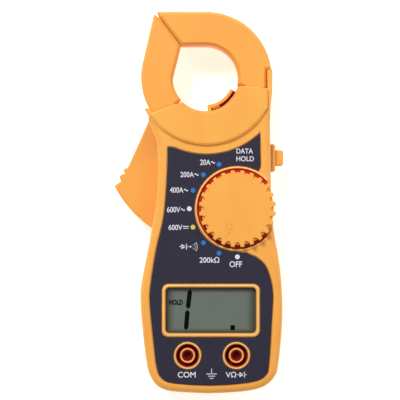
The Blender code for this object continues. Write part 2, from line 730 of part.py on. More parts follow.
def make_carrier(finish):
    """The disc under the front wall that holds the detent balls and the wipers."""
    low, high = BOARD_TOP + CARRIER_LIFT, CAVITY_TOP - 0.7
    profile = [(CARRIER_RADIUS, high), (CARRIER_RADIUS, low), (STEM_RADIUS + GAP, low), (STEM_RADIUS + GAP, high)]
    carrier = turned("contact_carrier", KNOB, profile, finish, steps=28)
    for i, angle in enumerate(BALL_ANGLES):
        cut(carrier, cylinder(f"ball_pocket_{i}", polar(KNOB, BALL_TRACK, angle), 1.5, BOARD_TOP + 1.5, TALL, segments=16))
    for i, angle in enumerate(WIPER_ANGLES):
        slot = sector(KNOB, 7.6, 12.9, angle - 7.0, angle + 7.0, 14.0)
        cut(carrier, prism(f"wiper_slot_{i}", slot, BOARD_TOP - 1.0, low + 0.9))
    return carrier


def make_ball(name, centre, radius, height, finish):
    """A detent ball."""
    shape = bmesh.new()
    bmesh.ops.create_uvsphere(shape, u_segments=10, v_segments=6, radius=radius * MM)
    where = Vector((centre[0], centre[1], height)) * MM
    bmesh.ops.transform(shape, matrix=Matrix.Translation(where), verts=shape.verts)
    return from_bmesh(name, shape, finish)


# ---------------------------------------------------------------- electronics and cells


def make_board(finish):
    """The circuit board, cut out for the jaws, the knob's stem and the sockets."""
    outline = [
        (24.5, -82.0), (24.5, 29.0), (8.0, 29.0), (8.0, 22.0), (-24.5, 22.0), (-24.5, -82.0), (-19.0, -82.0),
        (-19.0, -88.0), (19.0, -88.0), (19.0, -82.0),
    ]  # fmt: skip
    board = prism("circuit_board", outline, BOARD_BOTTOM, BOARD_TOP, finish)
    cut(board, cylinder("board_knob_hole", KNOB, 2.5, 0.0, TALL, segments=16))
    for i, x in enumerate((-JACK_X, JACK_X)):
        cut(board, cylinder(f"board_jack_hole_{i}", (x, JACK_Y), JACK_BORE_RADIUS + 0.1, 0.0, TALL, segments=16))
    return board


def make_socket(name, x, finish):
    """A brass tube, closed at the bottom, with a flange that is soldered to the back of the board."""
    outer, top = JACK_BORE_RADIUS - GAP, CASE_DEPTH - 2.5
    profile = [
        (0, SOCKET_BOTTOM + 1.0),
        (PLUG_BORE_RADIUS, SOCKET_BOTTOM + 1.0),
        (PLUG_BORE_RADIUS, top),
        (outer, top),
        (outer, BOARD_BOTTOM - 0.4),
        (JACK_BARREL_RADIUS, BOARD_BOTTOM - 0.4),
        (JACK_BARREL_RADIUS, BOARD_BOTTOM - 1.2),
        (outer, BOARD_BOTTOM - 1.2),
        (outer, SOCKET_BOTTOM),
        (0, SOCKET_BOTTOM),
    ]
    return turned(name, (x, JACK_Y), profile, finish, steps=16)


def make_cell(name, x, nub_end, flat_end, finish):
    """A cylindrical cell along Y, with its nub at nub_end."""
    way = 1 if nub_end > flat_end else -1
    shoulder = abs(nub_end - flat_end) - CELL_NUB
    profile = [
        (0, shoulder + CELL_NUB),
        (1.9, shoulder + CELL_NUB),
        (1.9, shoulder),
        (CELL_RADIUS - 0.5, shoulder),
        (CELL_RADIUS, shoulder - 0.5),
        (CELL_RADIUS, 0.3),
        (CELL_RADIUS - 0.3, 0),
        (0, 0),
    ]
    turn = Matrix.Rotation(math.radians(-90.0 * way), 4, "X")
    where = Matrix.Translation(Vector((x, flat_end, CELL_Z)) * MM)
    return turned(name, (0, 0), profile, finish, steps=16, matrix=where @ turn)


def ride(piece, axis):
    """Parents a piece to the empty on its joint's axis, leaving it where it is."""
    piece.parent = axis
    piece.matrix_parent_inverse = axis.matrix_world.inverted()


def empty(name, x, y, z):
    """An empty that marks a joint's axis."""
    obj = bpy.data.objects.new(name, None)
    obj.location = Vector((x, y, z)) * MM
    obj.empty_display_size = 0.01
    parts.objects.link(obj)
    return obj


def build_case(finish):
    """The shells, their screws, the label, the window and the hold button, which is returned."""
    make_front_case(finish["orange"])
    make_rear_case(finish["orange"])
    make_battery_door(finish["orange"])
    make_screw("battery_door_screw", DOOR_SCREW, 0.1, DOOR_HEAD_DEPTH - GAP - 0.1, BAY_TOP - 3.0, finish["steel"])
    for i, centre in enumerate(POSTS):
        make_screw(f"case_screw_{i + 1}", centre, 2.0, 1.6, CAVITY_TOP - 4.0, finish["steel"])
    label = prism("front_label", label_outline(), CASE_DEPTH - LABEL_THICKNESS, CASE_DEPTH, finish["label"])
    grown = 2 * (WINDOW_RIM + GAP)
    cut(label, prism("label_window", rectangle(WINDOW, WINDOW_WIDTH + grown, WINDOW_HEIGHT + grown, 3.6), 0.0, TALL))
    for i, x in enumerate((-JACK_X, JACK_X)):
        cut(label, cylinder(f"label_jack_{i}", (x, JACK_Y), JACK_RIM_RADIUS + GAP, 0.0, TALL, segments=28))
    pane = rectangle(WINDOW, WINDOW_WIDTH - 2 * GAP, WINDOW_HEIGHT - 2 * GAP, 1.7)
    prism("lcd_window", pane, CAVITY_TOP + 0.3, CASE_DEPTH - 0.4, finish["clear"])
    half = BUTTON_SIDE / 2
    low = (BUTTON_ROOT_X, BUTTON_Y - half, PARTING - half)
    button = box("hold_button", low, (BUTTON_TIP_X, BUTTON_Y + half, PARTING + half), finish["orange"])
    reach = half + FLANGE_REACH
    low = (BUTTON_ROOT_X - 1.0, BUTTON_Y - reach, PARTING - reach)
    high = (BUTTON_ROOT_X - 1.0 + FLANGE_THICKNESS, BUTTON_Y + reach, PARTING + reach)
    join(button, box("button_flange", low, high))
    return button


def build_jaws(finish):
    """Both jaws with their cores, coils, pin and spring; returns the pieces that swing."""
    moving = []
    for side, front in (("front", True), ("rear", False)):
        moving.append(make_jaw(f"moving_jaw_{side}", moving_ring_outline(), finish["orange"], front, trigger_outline()))
        make_jaw(f"fixed_jaw_{side}", fixed_ring_outline(), finish["orange"], front)
    moving.append(jaw_core("moving_core", SPLIT_ANGLE + 0.6, 250.0, finish["core"]))
    jaw_core("fixed_core", -55.0, SPLIT_ANGLE - 0.6, finish["core"])
    moving.append(make_coil("moving_coil", 160.0, 205.0, RING_RADIUS - 2.6, finish["copper"]))
    make_coil("fixed_coil", 30.0, 75.0, RING_RADIUS - 2.6, finish["copper"])
    cylinder("pivot_pin", PIVOT, PIN_RADIUS, 1.5, CAVITY_TOP + 1.2, finish["steel"], segments=20)
    radius, low, high = 4.3, WALL + 1.0, JAW_BACK - 1.0
    coil = helix(PIVOT, radius, low, high, 3.5, 8)
    first, last = coil[0], coil[-1]
    legs = [(first[0], first[1] - 8.0, low), *coil, (last[0], last[1] - 9.0, high)]
    wire("jaw_return_spring", legs, 0.35, finish["steel"])
    return moving


def build_selector(finish):
    """The knob and all that turns with it, which is returned."""
    turning = [make_knob(finish["orange"]), make_carrier(finish["dark"])]
    ball_height = CAVITY_TOP - GAP - BALL_RADIUS
    for i, angle in enumerate(BALL_ANGLES, start=1):
        where = polar(KNOB, BALL_TRACK, angle)
        turning.append(make_ball(f"detent_ball_{i}", where, BALL_RADIUS, ball_height, finish["steel"]))
        coil = helix(where, 0.8, BOARD_TOP + 2.0, ball_height - BALL_RADIUS - 0.4, 2.5, 6)
        turning.append(wire(f"detent_spring_{i}", coil, 0.18, finish["steel"]))
    for i, angle in enumerate(WIPER_ANGLES, start=1):
        blade = sector(KNOB, 8.2, 12.3, angle - 4.0, angle + 4.0, 8.0)
        turning.append(prism(f"wiper_contact_{i}", blade, BOARD_TOP + GAP, BOARD_TOP + GAP + 0.7, finish["brass"]))
    return turning


def build_electronics(finish):
    """The board, the display and the parts on the board."""
    make_board(finish["board"])
    make_socket("com_jack", -JACK_X, finish["brass"])
    make_socket("volt_jack", JACK_X, finish["brass"])
    low, high = BOARD_TOP + GAP, CAVITY_TOP - GAP
    frame = prism("lcd_frame", rectangle(WINDOW, 54.0, 31.0), low, high, finish["dark"])
    cut(frame, prism("lcd_frame_inside", rectangle(WINDOW, 50.6, 27.6), 0.0, TALL))
    prism("lcd_glass", rectangle(WINDOW, 50.0, 27.0), high - 3.0, high - 0.3, finish["glass"])
    for name, way in (("upper", 1), ("lower", -1)):
        strip = rectangle((WINDOW.x, WINDOW.y + way * 12.0), 46.0, 2.0)
        prism(f"elastomer_strip_{name}", strip, low, high - 3.3, finish["dark"])
    dome = [(0, low + 1.6), (2.5, low + 1.4), (4.2, low + 0.8), (5.0, low), (0, low)]
    turned("chip_blob", WINDOW, dome, finish["dark"], steps=20)
    top = BOARD_BOTTOM - GAP
    cylinder("buzzer", (18.0, -30.5), 6.0, top - 6.0, top, finish["dark"], 24)
    cylinder("overload_disc", (20.0, -15.0), 3.6, top - 3.0, top, finish["copper"], 20)
    prism("film_capacitor_1", rectangle((-12.0, -32.0), 9.0, 4.0, 0.8), top - 5.5, top, finish["ochre"])
    prism("film_capacitor_2", rectangle((0.0, -32.0), 9.0, 4.0, 0.8), top - 5.5, top, finish["ochre"])
    trimmer = prism("trimmer", rectangle((20.0, 8.0), 6.5, 6.5), top - 4.0, top, finish["blue"])
    cut(trimmer, box("trimmer_slot", (17.5, 7.6, 0.0), (22.5, 8.4, top - 3.2)))
    switch = box("hold_switch", (17.5, BUTTON_Y - 3.5, PARTING - 3.0), (23.4, BUTTON_Y + 3.5, top), finish["dark"])
    join(switch, cylinder("switch_plunger", (BUTTON_Y, PARTING), 1.6, 22.0, 24.4, segments=16, axis="X"))


def build_cells(finish):
    """Both cells with a plate and a spring each."""
    x = CELL_RADIUS + 1.1
    near, far = BAY_LOW_Y + 0.8, DOOR_SCREW[1] - 3.6
    spring_room = 2.6
    length = CELL_LENGTH + CELL_NUB
    make_cell("battery_cell_1", -x, near + spring_room + length, near + spring_room, finish["cell"])
    make_cell("battery_cell_2", x, far - spring_room - length, far - spring_room, finish["cell"])
    plates = (
        ("battery_plate_1", -x, near + spring_room + length + GAP, 9.0),
        ("battery_plate_2", x, far - spring_room - length - GAP - 0.4, 9.0),
    )
    for name, place_x, y, width in plates:
        box(name, (place_x - width / 2, y, CELL_Z - 3.5), (place_x + width / 2, y + 0.4, CELL_Z + 3.5), finish["steel"])
    for name, place_x, start, end in (
        ("battery_spring_1", -x, near + 0.2, near + spring_room - 0.6),
        ("battery_spring_2", x, far - spring_room + 0.6, far - 0.2),
    ):
        wire(name, helix((place_x, CELL_Z), 3.0, start, end, 2.5, 8, "Y"), 0.3, finish["steel"])


def main():
    """Builds every piece and parents the moving ones to their axes."""
    for obj in list(bpy.data.objects):
        bpy.data.objects.remove(obj)
    bpy.context.scene.unit_settings.system = "METRIC"
    bpy.context.scene.collection.children.link(parts)
    bpy.context.scene.collection.children.link(cutters)
    finish = {
        "orange": material("orange shell", (0.94, 0.40, 0.08), 0.45),
        "label": material("dark label", (0.035, 0.03, 0.05), 0.6),
        "clear": material("clear window", (0.6, 0.65, 0.6), 0.08),
        "glass": material("display glass", (0.12, 0.15, 0.12), 0.15),
        "steel": material("zinc-plated steel", (0.55, 0.55, 0.55), 0.3, 1.0),
        "core": material("core laminations", (0.3, 0.3, 0.32), 0.4, 1.0),
        "copper": material("enamelled copper", (0.6, 0.25, 0.1), 0.35, 1.0),
        "brass": material("brass", (0.75, 0.55, 0.2), 0.3, 1.0),
        "board": material("green board", (0.03, 0.18, 0.06), 0.5),
        "dark": material("dark plastic", (0.03, 0.03, 0.035), 0.5),
        "ochre": material("ochre film capacitor", (0.5, 0.2, 0.04), 0.4),
        "blue": material("blue trimmer", (0.05, 0.15, 0.5), 0.4),
        "cell": material("cell jacket", (0.1, 0.12, 0.2), 0.35),
    }
    button = build_case(finish)
    moving = build_jaws(finish)
    turning = build_selector(finish)
    build_electronics(finish)
    build_cells(finish)
    bpy.context.view_layer.update()
    for axis, pieces in (
        (empty("jaw_axis", PIVOT.x, PIVOT.y, PARTING), moving),
        (empty("knob_axis", KNOB.x, KNOB.y, CASE_DEPTH), turning),
        (empty("button_axis", BUTTON_TIP_X, BUTTON_Y, PARTING), [button]),
    ):
        bpy.context.view_layer.update()
        for piece in pieces:
            ride(piece, axis)
    for obj in parts.objects:
        shade(obj)


main()
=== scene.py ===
"""Looks of a hand-held clamp meter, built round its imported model.

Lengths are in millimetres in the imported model's own frame, and MM turns them into metres when a mesh is made:
+X is to the right of someone facing the meter, +Y points to the jaws and +Z out of the front.
"""

from __future__ import annotations

import logging
import math
from collections.abc import Callable, Iterable, Sequence
from dataclasses import dataclass, field
from enum import Enum

import bmesh
import bpy
from mathutils import Matrix, Vector


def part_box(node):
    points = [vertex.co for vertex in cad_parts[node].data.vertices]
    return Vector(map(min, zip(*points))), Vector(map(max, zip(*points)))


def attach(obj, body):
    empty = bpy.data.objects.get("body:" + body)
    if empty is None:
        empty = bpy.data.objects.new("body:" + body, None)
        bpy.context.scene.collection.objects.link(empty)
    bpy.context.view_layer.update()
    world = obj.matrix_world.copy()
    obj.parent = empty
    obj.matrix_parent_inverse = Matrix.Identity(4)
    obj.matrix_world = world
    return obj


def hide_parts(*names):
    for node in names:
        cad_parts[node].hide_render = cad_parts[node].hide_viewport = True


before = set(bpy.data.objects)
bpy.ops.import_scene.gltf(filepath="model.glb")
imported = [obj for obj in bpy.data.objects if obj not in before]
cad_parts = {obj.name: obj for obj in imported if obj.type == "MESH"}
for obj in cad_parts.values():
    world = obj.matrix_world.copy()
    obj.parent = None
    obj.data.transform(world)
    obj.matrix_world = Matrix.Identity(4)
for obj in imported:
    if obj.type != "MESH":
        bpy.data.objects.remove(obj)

LOG = logging.getLogger("clamp_meter")
MM = 0.001
GAP = 0.3  # between pieces that touch
TALL = 60.0  # reach of a cutter that has to pass right through

Point = tuple[float, float]
Colour = tuple[int, int, int]


class Body(Enum):
    """The bodies that a piece can ride on."""

    CASE = "case"
    MOVING_JAW = "moving_jaw"
    KNOB = "knob"
    BUTTON = "button"


class Side(Enum):
    """The two halves that every shell is split into."""

    FRONT = "front"
    REAR = "rear"


@dataclass(frozen=True)
class Span:
    """A CAD node's box at rest, in millimetres."""

    low: Vector
    high: Vector

    @classmethod
    def of(cls, node: str) -> Span:
        """The box of a named node."""
        low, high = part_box(node)
        return cls(Vector(low) / MM, Vector(high) / MM)

    @property
    def middle(self) -> Vector:
        """The centre of the box."""
        return (self.low + self.high) / 2

    @property
    def size(self) -> Vector:
        """The box's three lengths."""
        return self.high - self.low


# ---------------------------------------------------------------- outlines


def polar(centre: Sequence[float], radius: float, degrees: float) -> Point:
    """The point at an angle and distance from a centre."""
    angle = math.radians(degrees)
    return (centre[0] + radius * math.cos(angle), centre[1] + radius * math.sin(angle))


def arc(centre: Sequence[float], radius: float, start: float, end: float, step: float = 3.0) -> list[Point]:
    """Points along an arc.

    Args:
        centre: Middle of the arc.
        radius: Its radius.
        start: Angle of the first point, in degrees.
        end: Angle of the last point, in degrees.
        step: Degrees between neighbouring points, as nearly as they divide evenly.

    Returns:
        The points, both ends included.
    """
    count = max(2, round(abs(end - start) / step))
    return [polar(centre, radius, start + (end - start) * i / count) for i in range(count + 1)]


def sector(centre: Sequence[float], inner: float, outer: float, start: float, end: float) -> list[Point]:
    """The outline of a ring's sector."""
    return arc(centre, outer, start, end) + arc(centre, inner, end, start)


def smooth(points: Sequence[Point], steps: int = 4) -> list[Point]:
    """A curve through the points, by Catmull-Rom.

    Args:
        points: Knots of the curve.
        steps: Stretches made between neighbouring knots.

    Returns:
        The curve's points, both ends included.
    """
    knots = [Vector(p) for p in points]
    knots = [2 * knots[0] - knots[1], *knots, 2 * knots[-1] - knots[-2]]
    made: list[Point] = []
    for a, b, c, d in zip(knots, knots[1:], knots[2:], knots[3:], strict=False):
        for i in range(steps):
            t = i / steps
            curved = (2 * a - 5 * b + 4 * c - d) * t**2 + (3 * b - a - 3 * c + d) * t**3
            made.append(tuple(0.5 * (2 * b + (c - a) * t + curved)))
    return [*made, tuple(knots[-2])]


def rectangle(centre: Sequence[float], width: float, height: float, corner: float) -> list[Point]:
    """A rectangle about a centre, with round corners."""
    x, y = width / 2 - corner, height / 2 - corner
    made: list[Point] = []
    for i, (dx, dy) in enumerate(((x, y), (-x, y), (-x, -y), (x, -y))):
        made += arc((centre[0] + dx, centre[1] + dy), corner, 90.0 * i, 90.0 * (i + 1), 15.0)
    return made


def capsule(start: Sequence[float], end: Sequence[float], radius: float) -> list[Point]:
    """The outline of a stroke with round ends."""
    along = math.degrees(math.atan2(end[1] - start[1], end[0] - start[0]))
    return arc(end, radius, along - 90.0, along + 90.0, 20.0) + arc(
        start, radius, along + 90.0, along + 270.0, 20.0
    )


def eased(points: Sequence[Point], corners: dict[int, float], steps: int = 5) -> list[Point]:
    """An outline with some of its corners rounded.

    Args:
        points: The closed outline.
        corners: Distance to cut back from a corner along both its sides, by the corner's index.
        steps: Stretches in each rounded corner.

    Returns:
        The new outline.
    """
    made: list[Point] = []
    for i, point in enumerate(points):
        reach = corners.get(i % len(points), corners.get(i - len(points)))
        if reach is None:
            made.append(point)
            continue
        here, before, after = Vector(point), Vector(points[i - 1]), Vector(points[(i + 1) % len(points)])
        first = here + (before - here).normalized() * reach
        last = here + (after - here).normalized() * reach
        for k in range(steps + 1):
            t = k / steps
            made.append(tuple(first * (1 - t) ** 2 + here * 2 * t * (1 - t) + last * t**2))
    return made


def signed_area(points: Sequence[Point]) -> float:
    """The outline's area, which is negative if it runs clockwise."""
    turned = [*points[1:], points[0]]
    return sum(a[0] * b[1] - b[0] * a[1] for a, b in zip(points, turned, strict=True)) / 2


def mitres(points: Sequence[Point]) -> list[Vector]:
    """The step that moves each point of an anticlockwise outline inwards by one millimetre."""
    made: list[Vector] = []
    for before, here, after in zip([points[-1], *points[:-1]], points, [*points[1:], points[0]], strict=True):
        first = (Vector(here) - Vector(before)).normalized()
        second = (Vector(after) - Vector(here)).normalized()
        normal = Vector((-first.y - second.y, first.x + second.x)).normalized()
        made.append(normal / max(0.35, normal.dot(Vector((-first.y, first.x)))))
    return made


def crossing(first: tuple[Vector, Vector], second: tuple[Vector, Vector]) -> Vector:
    """Where two lines meet, each a point and a direction, or halfway between the points if they don't."""
    (a, u), (b, v) = first, second
    turn = u.x * v.y - u.y * v.x
    if abs(turn) < 0.02 * u.length * v.length:
        return (a + b) / 2
    return a + u * (((b.x - a.x) * v.y - (b.y - a.y) * v.x) / turn)


def inset_ring(points: Sequence[Point], distances: Sequence[float]) -> list[Vector]:
    """Moves an outline inwards, and shrinks to a point each edge that would turn over.

    Args:
        points: The outline, anticlockwise.
        distances: How far each of its points moves.

    Returns:
        The moved points, as many as were given.
    """
    count = len(points)
    knots = [Vector(p) for p in points]
    edges = [knots[(i + 1) % count] - knots[i] for i in range(count)]
    lines = []
    for knot, edge, distance in zip(knots, edges, distances, strict=True):
        lines.append((knot + Vector((-edge.y, edge.x)).normalized() * distance, edge))
    moved = [k + step * d for k, step, d in zip(knots, mitres(points), distances, strict=True)]
    gone: set[int] = set()
    while len(gone) < count - 3:
        turned = {i for i in range(count) if (moved[(i + 1) % count] - moved[i]).dot(edges[i]) < 0}
        if not turned - gone:
            break
        gone |= turned
        for first in [i for i in gone if (i - 1) % count not in gone]:
            run = 1
            while (first + run) % count in gone:
                run += 1
            meet = crossing(lines[(first - 1) % count], lines[(first + run) % count])
            for k in range(run + 1):
                moved[(first + k) % count] = meet
    return moved


def grown(points: Sequence[Point], distance: float) -> list[Point]:
    """The outline moved outwards by a distance, or inwards by a negative one."""
    ordered = list(points) if signed_area(points) > 0 else list(points)[::-1]
    made: list[Point] = []
    for point in inset_ring(ordered, [-distance] * len(ordered)):
        if not made or math.dist(made[-1], point) > 1e-3:
            made.append(tuple(point))
    return made


# ---------------------------------------------------------------- solids


Rim = list[tuple[float, float]]  # (inset, drop) pairs from the side of a solid to its flat end
SQUARE: Rim = [(0.0, 0.0)]


def quarter(radius: float, segments: int = 5) -> Rim:
    """A rounded rim."""
    angles = [math.pi / 2 * i / segments for i in range(segments + 1)]
    return [(radius * (1 - math.cos(a)), radius * (1 - math.sin(a))) for a in angles]


def cove(radius: float, segments: int = 5) -> Rim:
    """A hollow rim, as where a raised part runs out on to the face below it."""
    angles = [math.pi / 2 * i / segments for i in range(segments + 1)]
    return [(-radius * (1 - math.sin(a)), radius * math.cos(a)) for a in angles]


def bevelled(width: float, soft: float) -> Rim:
    """A flat chamfer with its two edges softened."""
    return [(0.0, width + soft), (soft * 0.3, width), (width, soft * 0.3), (width + soft, 0.0)]


class Solid:
    """A closed mesh, cut and joined until it becomes a piece."""

    def __init__(self, name: str, shape: bmesh.types.BMesh) -> None:
        """Takes over a bmesh whose lengths are in millimetres."""
        bmesh.ops.scale(shape, vec=Vector((MM, MM, MM)), verts=shape.verts)
        bmesh.ops.recalc_face_normals(shape, faces=shape.faces)
        mesh = bpy.data.meshes.new(name)
        shape.to_mesh(mesh)
        shape.free()
        self.obj = bpy.data.objects.new(name, mesh)
        bpy.context.scene.collection.objects.link(self.obj)
        self.obj.modifiers.new("Triangles", "TRIANGULATE")
        self.tools: list[Solid] = []

    @classmethod
    def loft(
        cls,
        name: str,
        outline: Sequence[Point],
        bottom: float,
        top: float,
        over: Rim = SQUARE,
        under: Rim = SQUARE,
        share: Callable[[Point], float] | None = None,
    ) -> Solid:
        """A flat outline raised from bottom to top, with a shaped rim at each end.

        Args:
            name: The solid's name.
            outline: Its outline from above.
            bottom: Height of its lower face.
            top: Height of its upper face.
            over: Rim of the upper face.
            under: Rim of the lower face.
            share: Part of the rims' full size that a point of the outline gets.

        Returns:
            The solid.
        """
        points = list(outline) if signed_area(outline) > 0 else list(outline)[::-1]
        levels = [(inset, bottom, drop) for inset, drop in reversed(under)]
        levels += [(inset, top, -drop) for inset, drop in over]
        shape = bmesh.new()
        rings = []
        parts = [share(point) if share else 1.0 for point in points]
        for inset, height, drop in levels:
            ring = []
            for where, part in zip(inset_ring(points, [inset * part for part in parts]), parts, strict=True):
                ring.append(shape.verts.new((where.x, where.y, height + drop * part)))
            rings.append(ring)
        shape.faces.new(rings[0][::-1])
        shape.faces.new(rings[-1])
        for low, high in zip(rings, rings[1:], strict=False):
            for i in range(len(points)):
                shape.faces.new((low[i - 1], low[i], high[i], high[i - 1]))
        bmesh.ops.remove_doubles(shape, verts=shape.verts, dist=1e-4)
        return cls(name, shape)

    @classmethod
    def turned(cls, name: str, centre: Sequence[float], profile: Sequence[Point], steps: int = 64) -> Solid:
        """A round solid.

        Args:
            name: The solid's name.
            centre: Where its axis stands.
            profile: (radius, height) points. One that doesn't start and end on the axis is closed
                into a loop.
            steps: Flats round the solid.

        Returns:
            The solid.
        """
        shape = bmesh.new()
        rings = []
        for radius, height in profile:
            count = steps if radius > 0 else 1
            ring = [
                shape.verts.new((*polar(centre, radius, 360.0 * i / steps), height)) for i in range(count)
            ]
            rings.append(ring)
        pairs = list(zip(rings, rings[1:], strict=False))
        if profile[0][0] > 0:
            pairs.append((rings[-1], rings[0]))
        for low, high in pairs:
            for i in range(steps):
                corners = (
                    [low[i - 1], low[i], high[i], high[i - 1]] if len(low) > 1 and len(high) > 1 else None
                )
                if corners is None:
                    corners = (
                        [low[0], high[i], high[i - 1]] if len(low) == 1 else [low[i - 1], low[i], high[0]]
                    )
                shape.faces.new(corners)
        return cls(name, shape)

    @classmethod
    def block(cls, name: str, low: Sequence[float], high: Sequence[float]) -> Solid:
        """A plain block, used as a cutter."""
        corners = [(low[0], low[1]), (high[0], low[1]), (high[0], high[1]), (low[0], high[1])]
        return cls.loft(name, corners, low[2], high[2])

    @classmethod
    def peg(cls, name: str, centre: Sequence[float], radius: float, bottom: float, top: float) -> Solid:
        """A round peg or bore."""
        return cls.loft(name, arc(centre, radius, 0.0, 354.0, 6.0), bottom, top)

    def turn(self, matrix: Matrix) -> Solid:
        """Moves the solid and its waiting tools by a matrix in millimetres."""
        scale = Matrix.Diagonal((MM, MM, MM, 1.0))
        self.obj.data.transform(scale @ matrix @ scale.inverted())
        for tool in self.tools:
            tool.turn(matrix)
        return self

    def _boolean(self, tools: Iterable[Solid], operation: str) -> Solid:
        """Queues one Boolean for each tool."""
        for tool in tools:
            modifier = self.obj.modifiers.new(operation.title(), "BOOLEAN")
            modifier.operation = operation
            modifier.solver = "MANIFOLD"  # EXACT loses faces where thin walls meet round cutters
            modifier.object = tool.obj
            self.tools.append(tool)
        return self

    def cut(self, *tools: Solid) -> Solid:
        """Takes the tools away from this solid."""
        return self._boolean(tools, "DIFFERENCE")

    def join(self, *tools: Solid) -> Solid:
        """Adds the tools to this solid."""
        return self._boolean(tools, "UNION")

    def scrap(self) -> None:
        """Removes the solid and its tools from the scene."""
        for tool in self.tools:
            tool.scrap()
        bpy.data.objects.remove(self.obj)

    def settle(self) -> bpy.types.Mesh:
        """Applies every cut and join, then scraps the tools.

        Returns:
            The finished mesh.
        """
        bpy.context.view_layer.update()
        graph = bpy.context.evaluated_depsgraph_get()
        mesh = bpy.data.meshes.new_from_object(self.obj.evaluated_get(graph))
        name = self.obj.name
        self.scrap()
        mesh.name = name
        return mesh

    def piece(self, body: Body, finish: Finish, *nodes: str) -> bpy.types.Object:
        """Finishes the solid as a visible piece.

        Args:
            body: The body that it rides on.
            finish: Its surface.
            nodes: CAD nodes that it stands for.

        Returns:
            The piece.
        """
        name = self.obj.name
        return add_piece(name, self.settle(), body, finish, *nodes)


def crease(obj: bpy.types.Object, degrees: float = 32.0) -> None:
    """Joins what is flat into whole faces, shades the mesh smooth and keeps its creases.

    Args:
        obj: The piece.
        degrees: Angle between two faces past which their edge stays sharp.
    """
    shape = bmesh.new()
    shape.from_mesh(obj.data)
    bmesh.ops.dissolve_limit(
        shape,
        angle_limit=math.radians(0.3),
        verts=shape.verts,
        edges=shape.edges,
        use_dissolve_boundaries=False,
    )
    shape.to_mesh(obj.data)
    shape.free()
    obj.data.shade_smooth()
    obj.data.set_sharp_from_angle(angle=math.radians(degrees))
    weighted = obj.modifiers.new("Flat faces first", "WEIGHTED_NORMAL")
    weighted.keep_sharp = True
    graph = bpy.context.evaluated_depsgraph_get()
    mesh = bpy.data.meshes.new_from_object(obj.evaluated_get(graph))
    obj.modifiers.remove(weighted)
    obj.data = mesh


def add_piece(
    name: str, mesh: bpy.types.Mesh, body: Body, finish: Finish, *nodes: str, flat: bool = False
) -> bpy.types.Object:
    """Puts a finished mesh in the scene as a piece.

    Args:
        name: The piece's name.
        mesh: Its mesh, with its place in its vertices.
        body: The body that it rides on.
        finish: Its surface.
        nodes: CAD nodes that it stands for.
        flat: True for print, which needs no smooth shading.

    Returns:
        The piece.
    """
    mesh.materials.clear()
    mesh.materials.append(finish.material())
    obj = bpy.data.objects.new(name, mesh)
    bpy.context.scene.collection.objects.link(obj)
    if not flat:
        crease(obj)
    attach(obj, body.value)
    if nodes:
        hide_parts(*nodes)
    LOG.info("%s: %d faces on %s", name, len(obj.data.polygons), body.value)
    return obj


# ---------------------------------------------------------------- copies made by Geometry Nodes


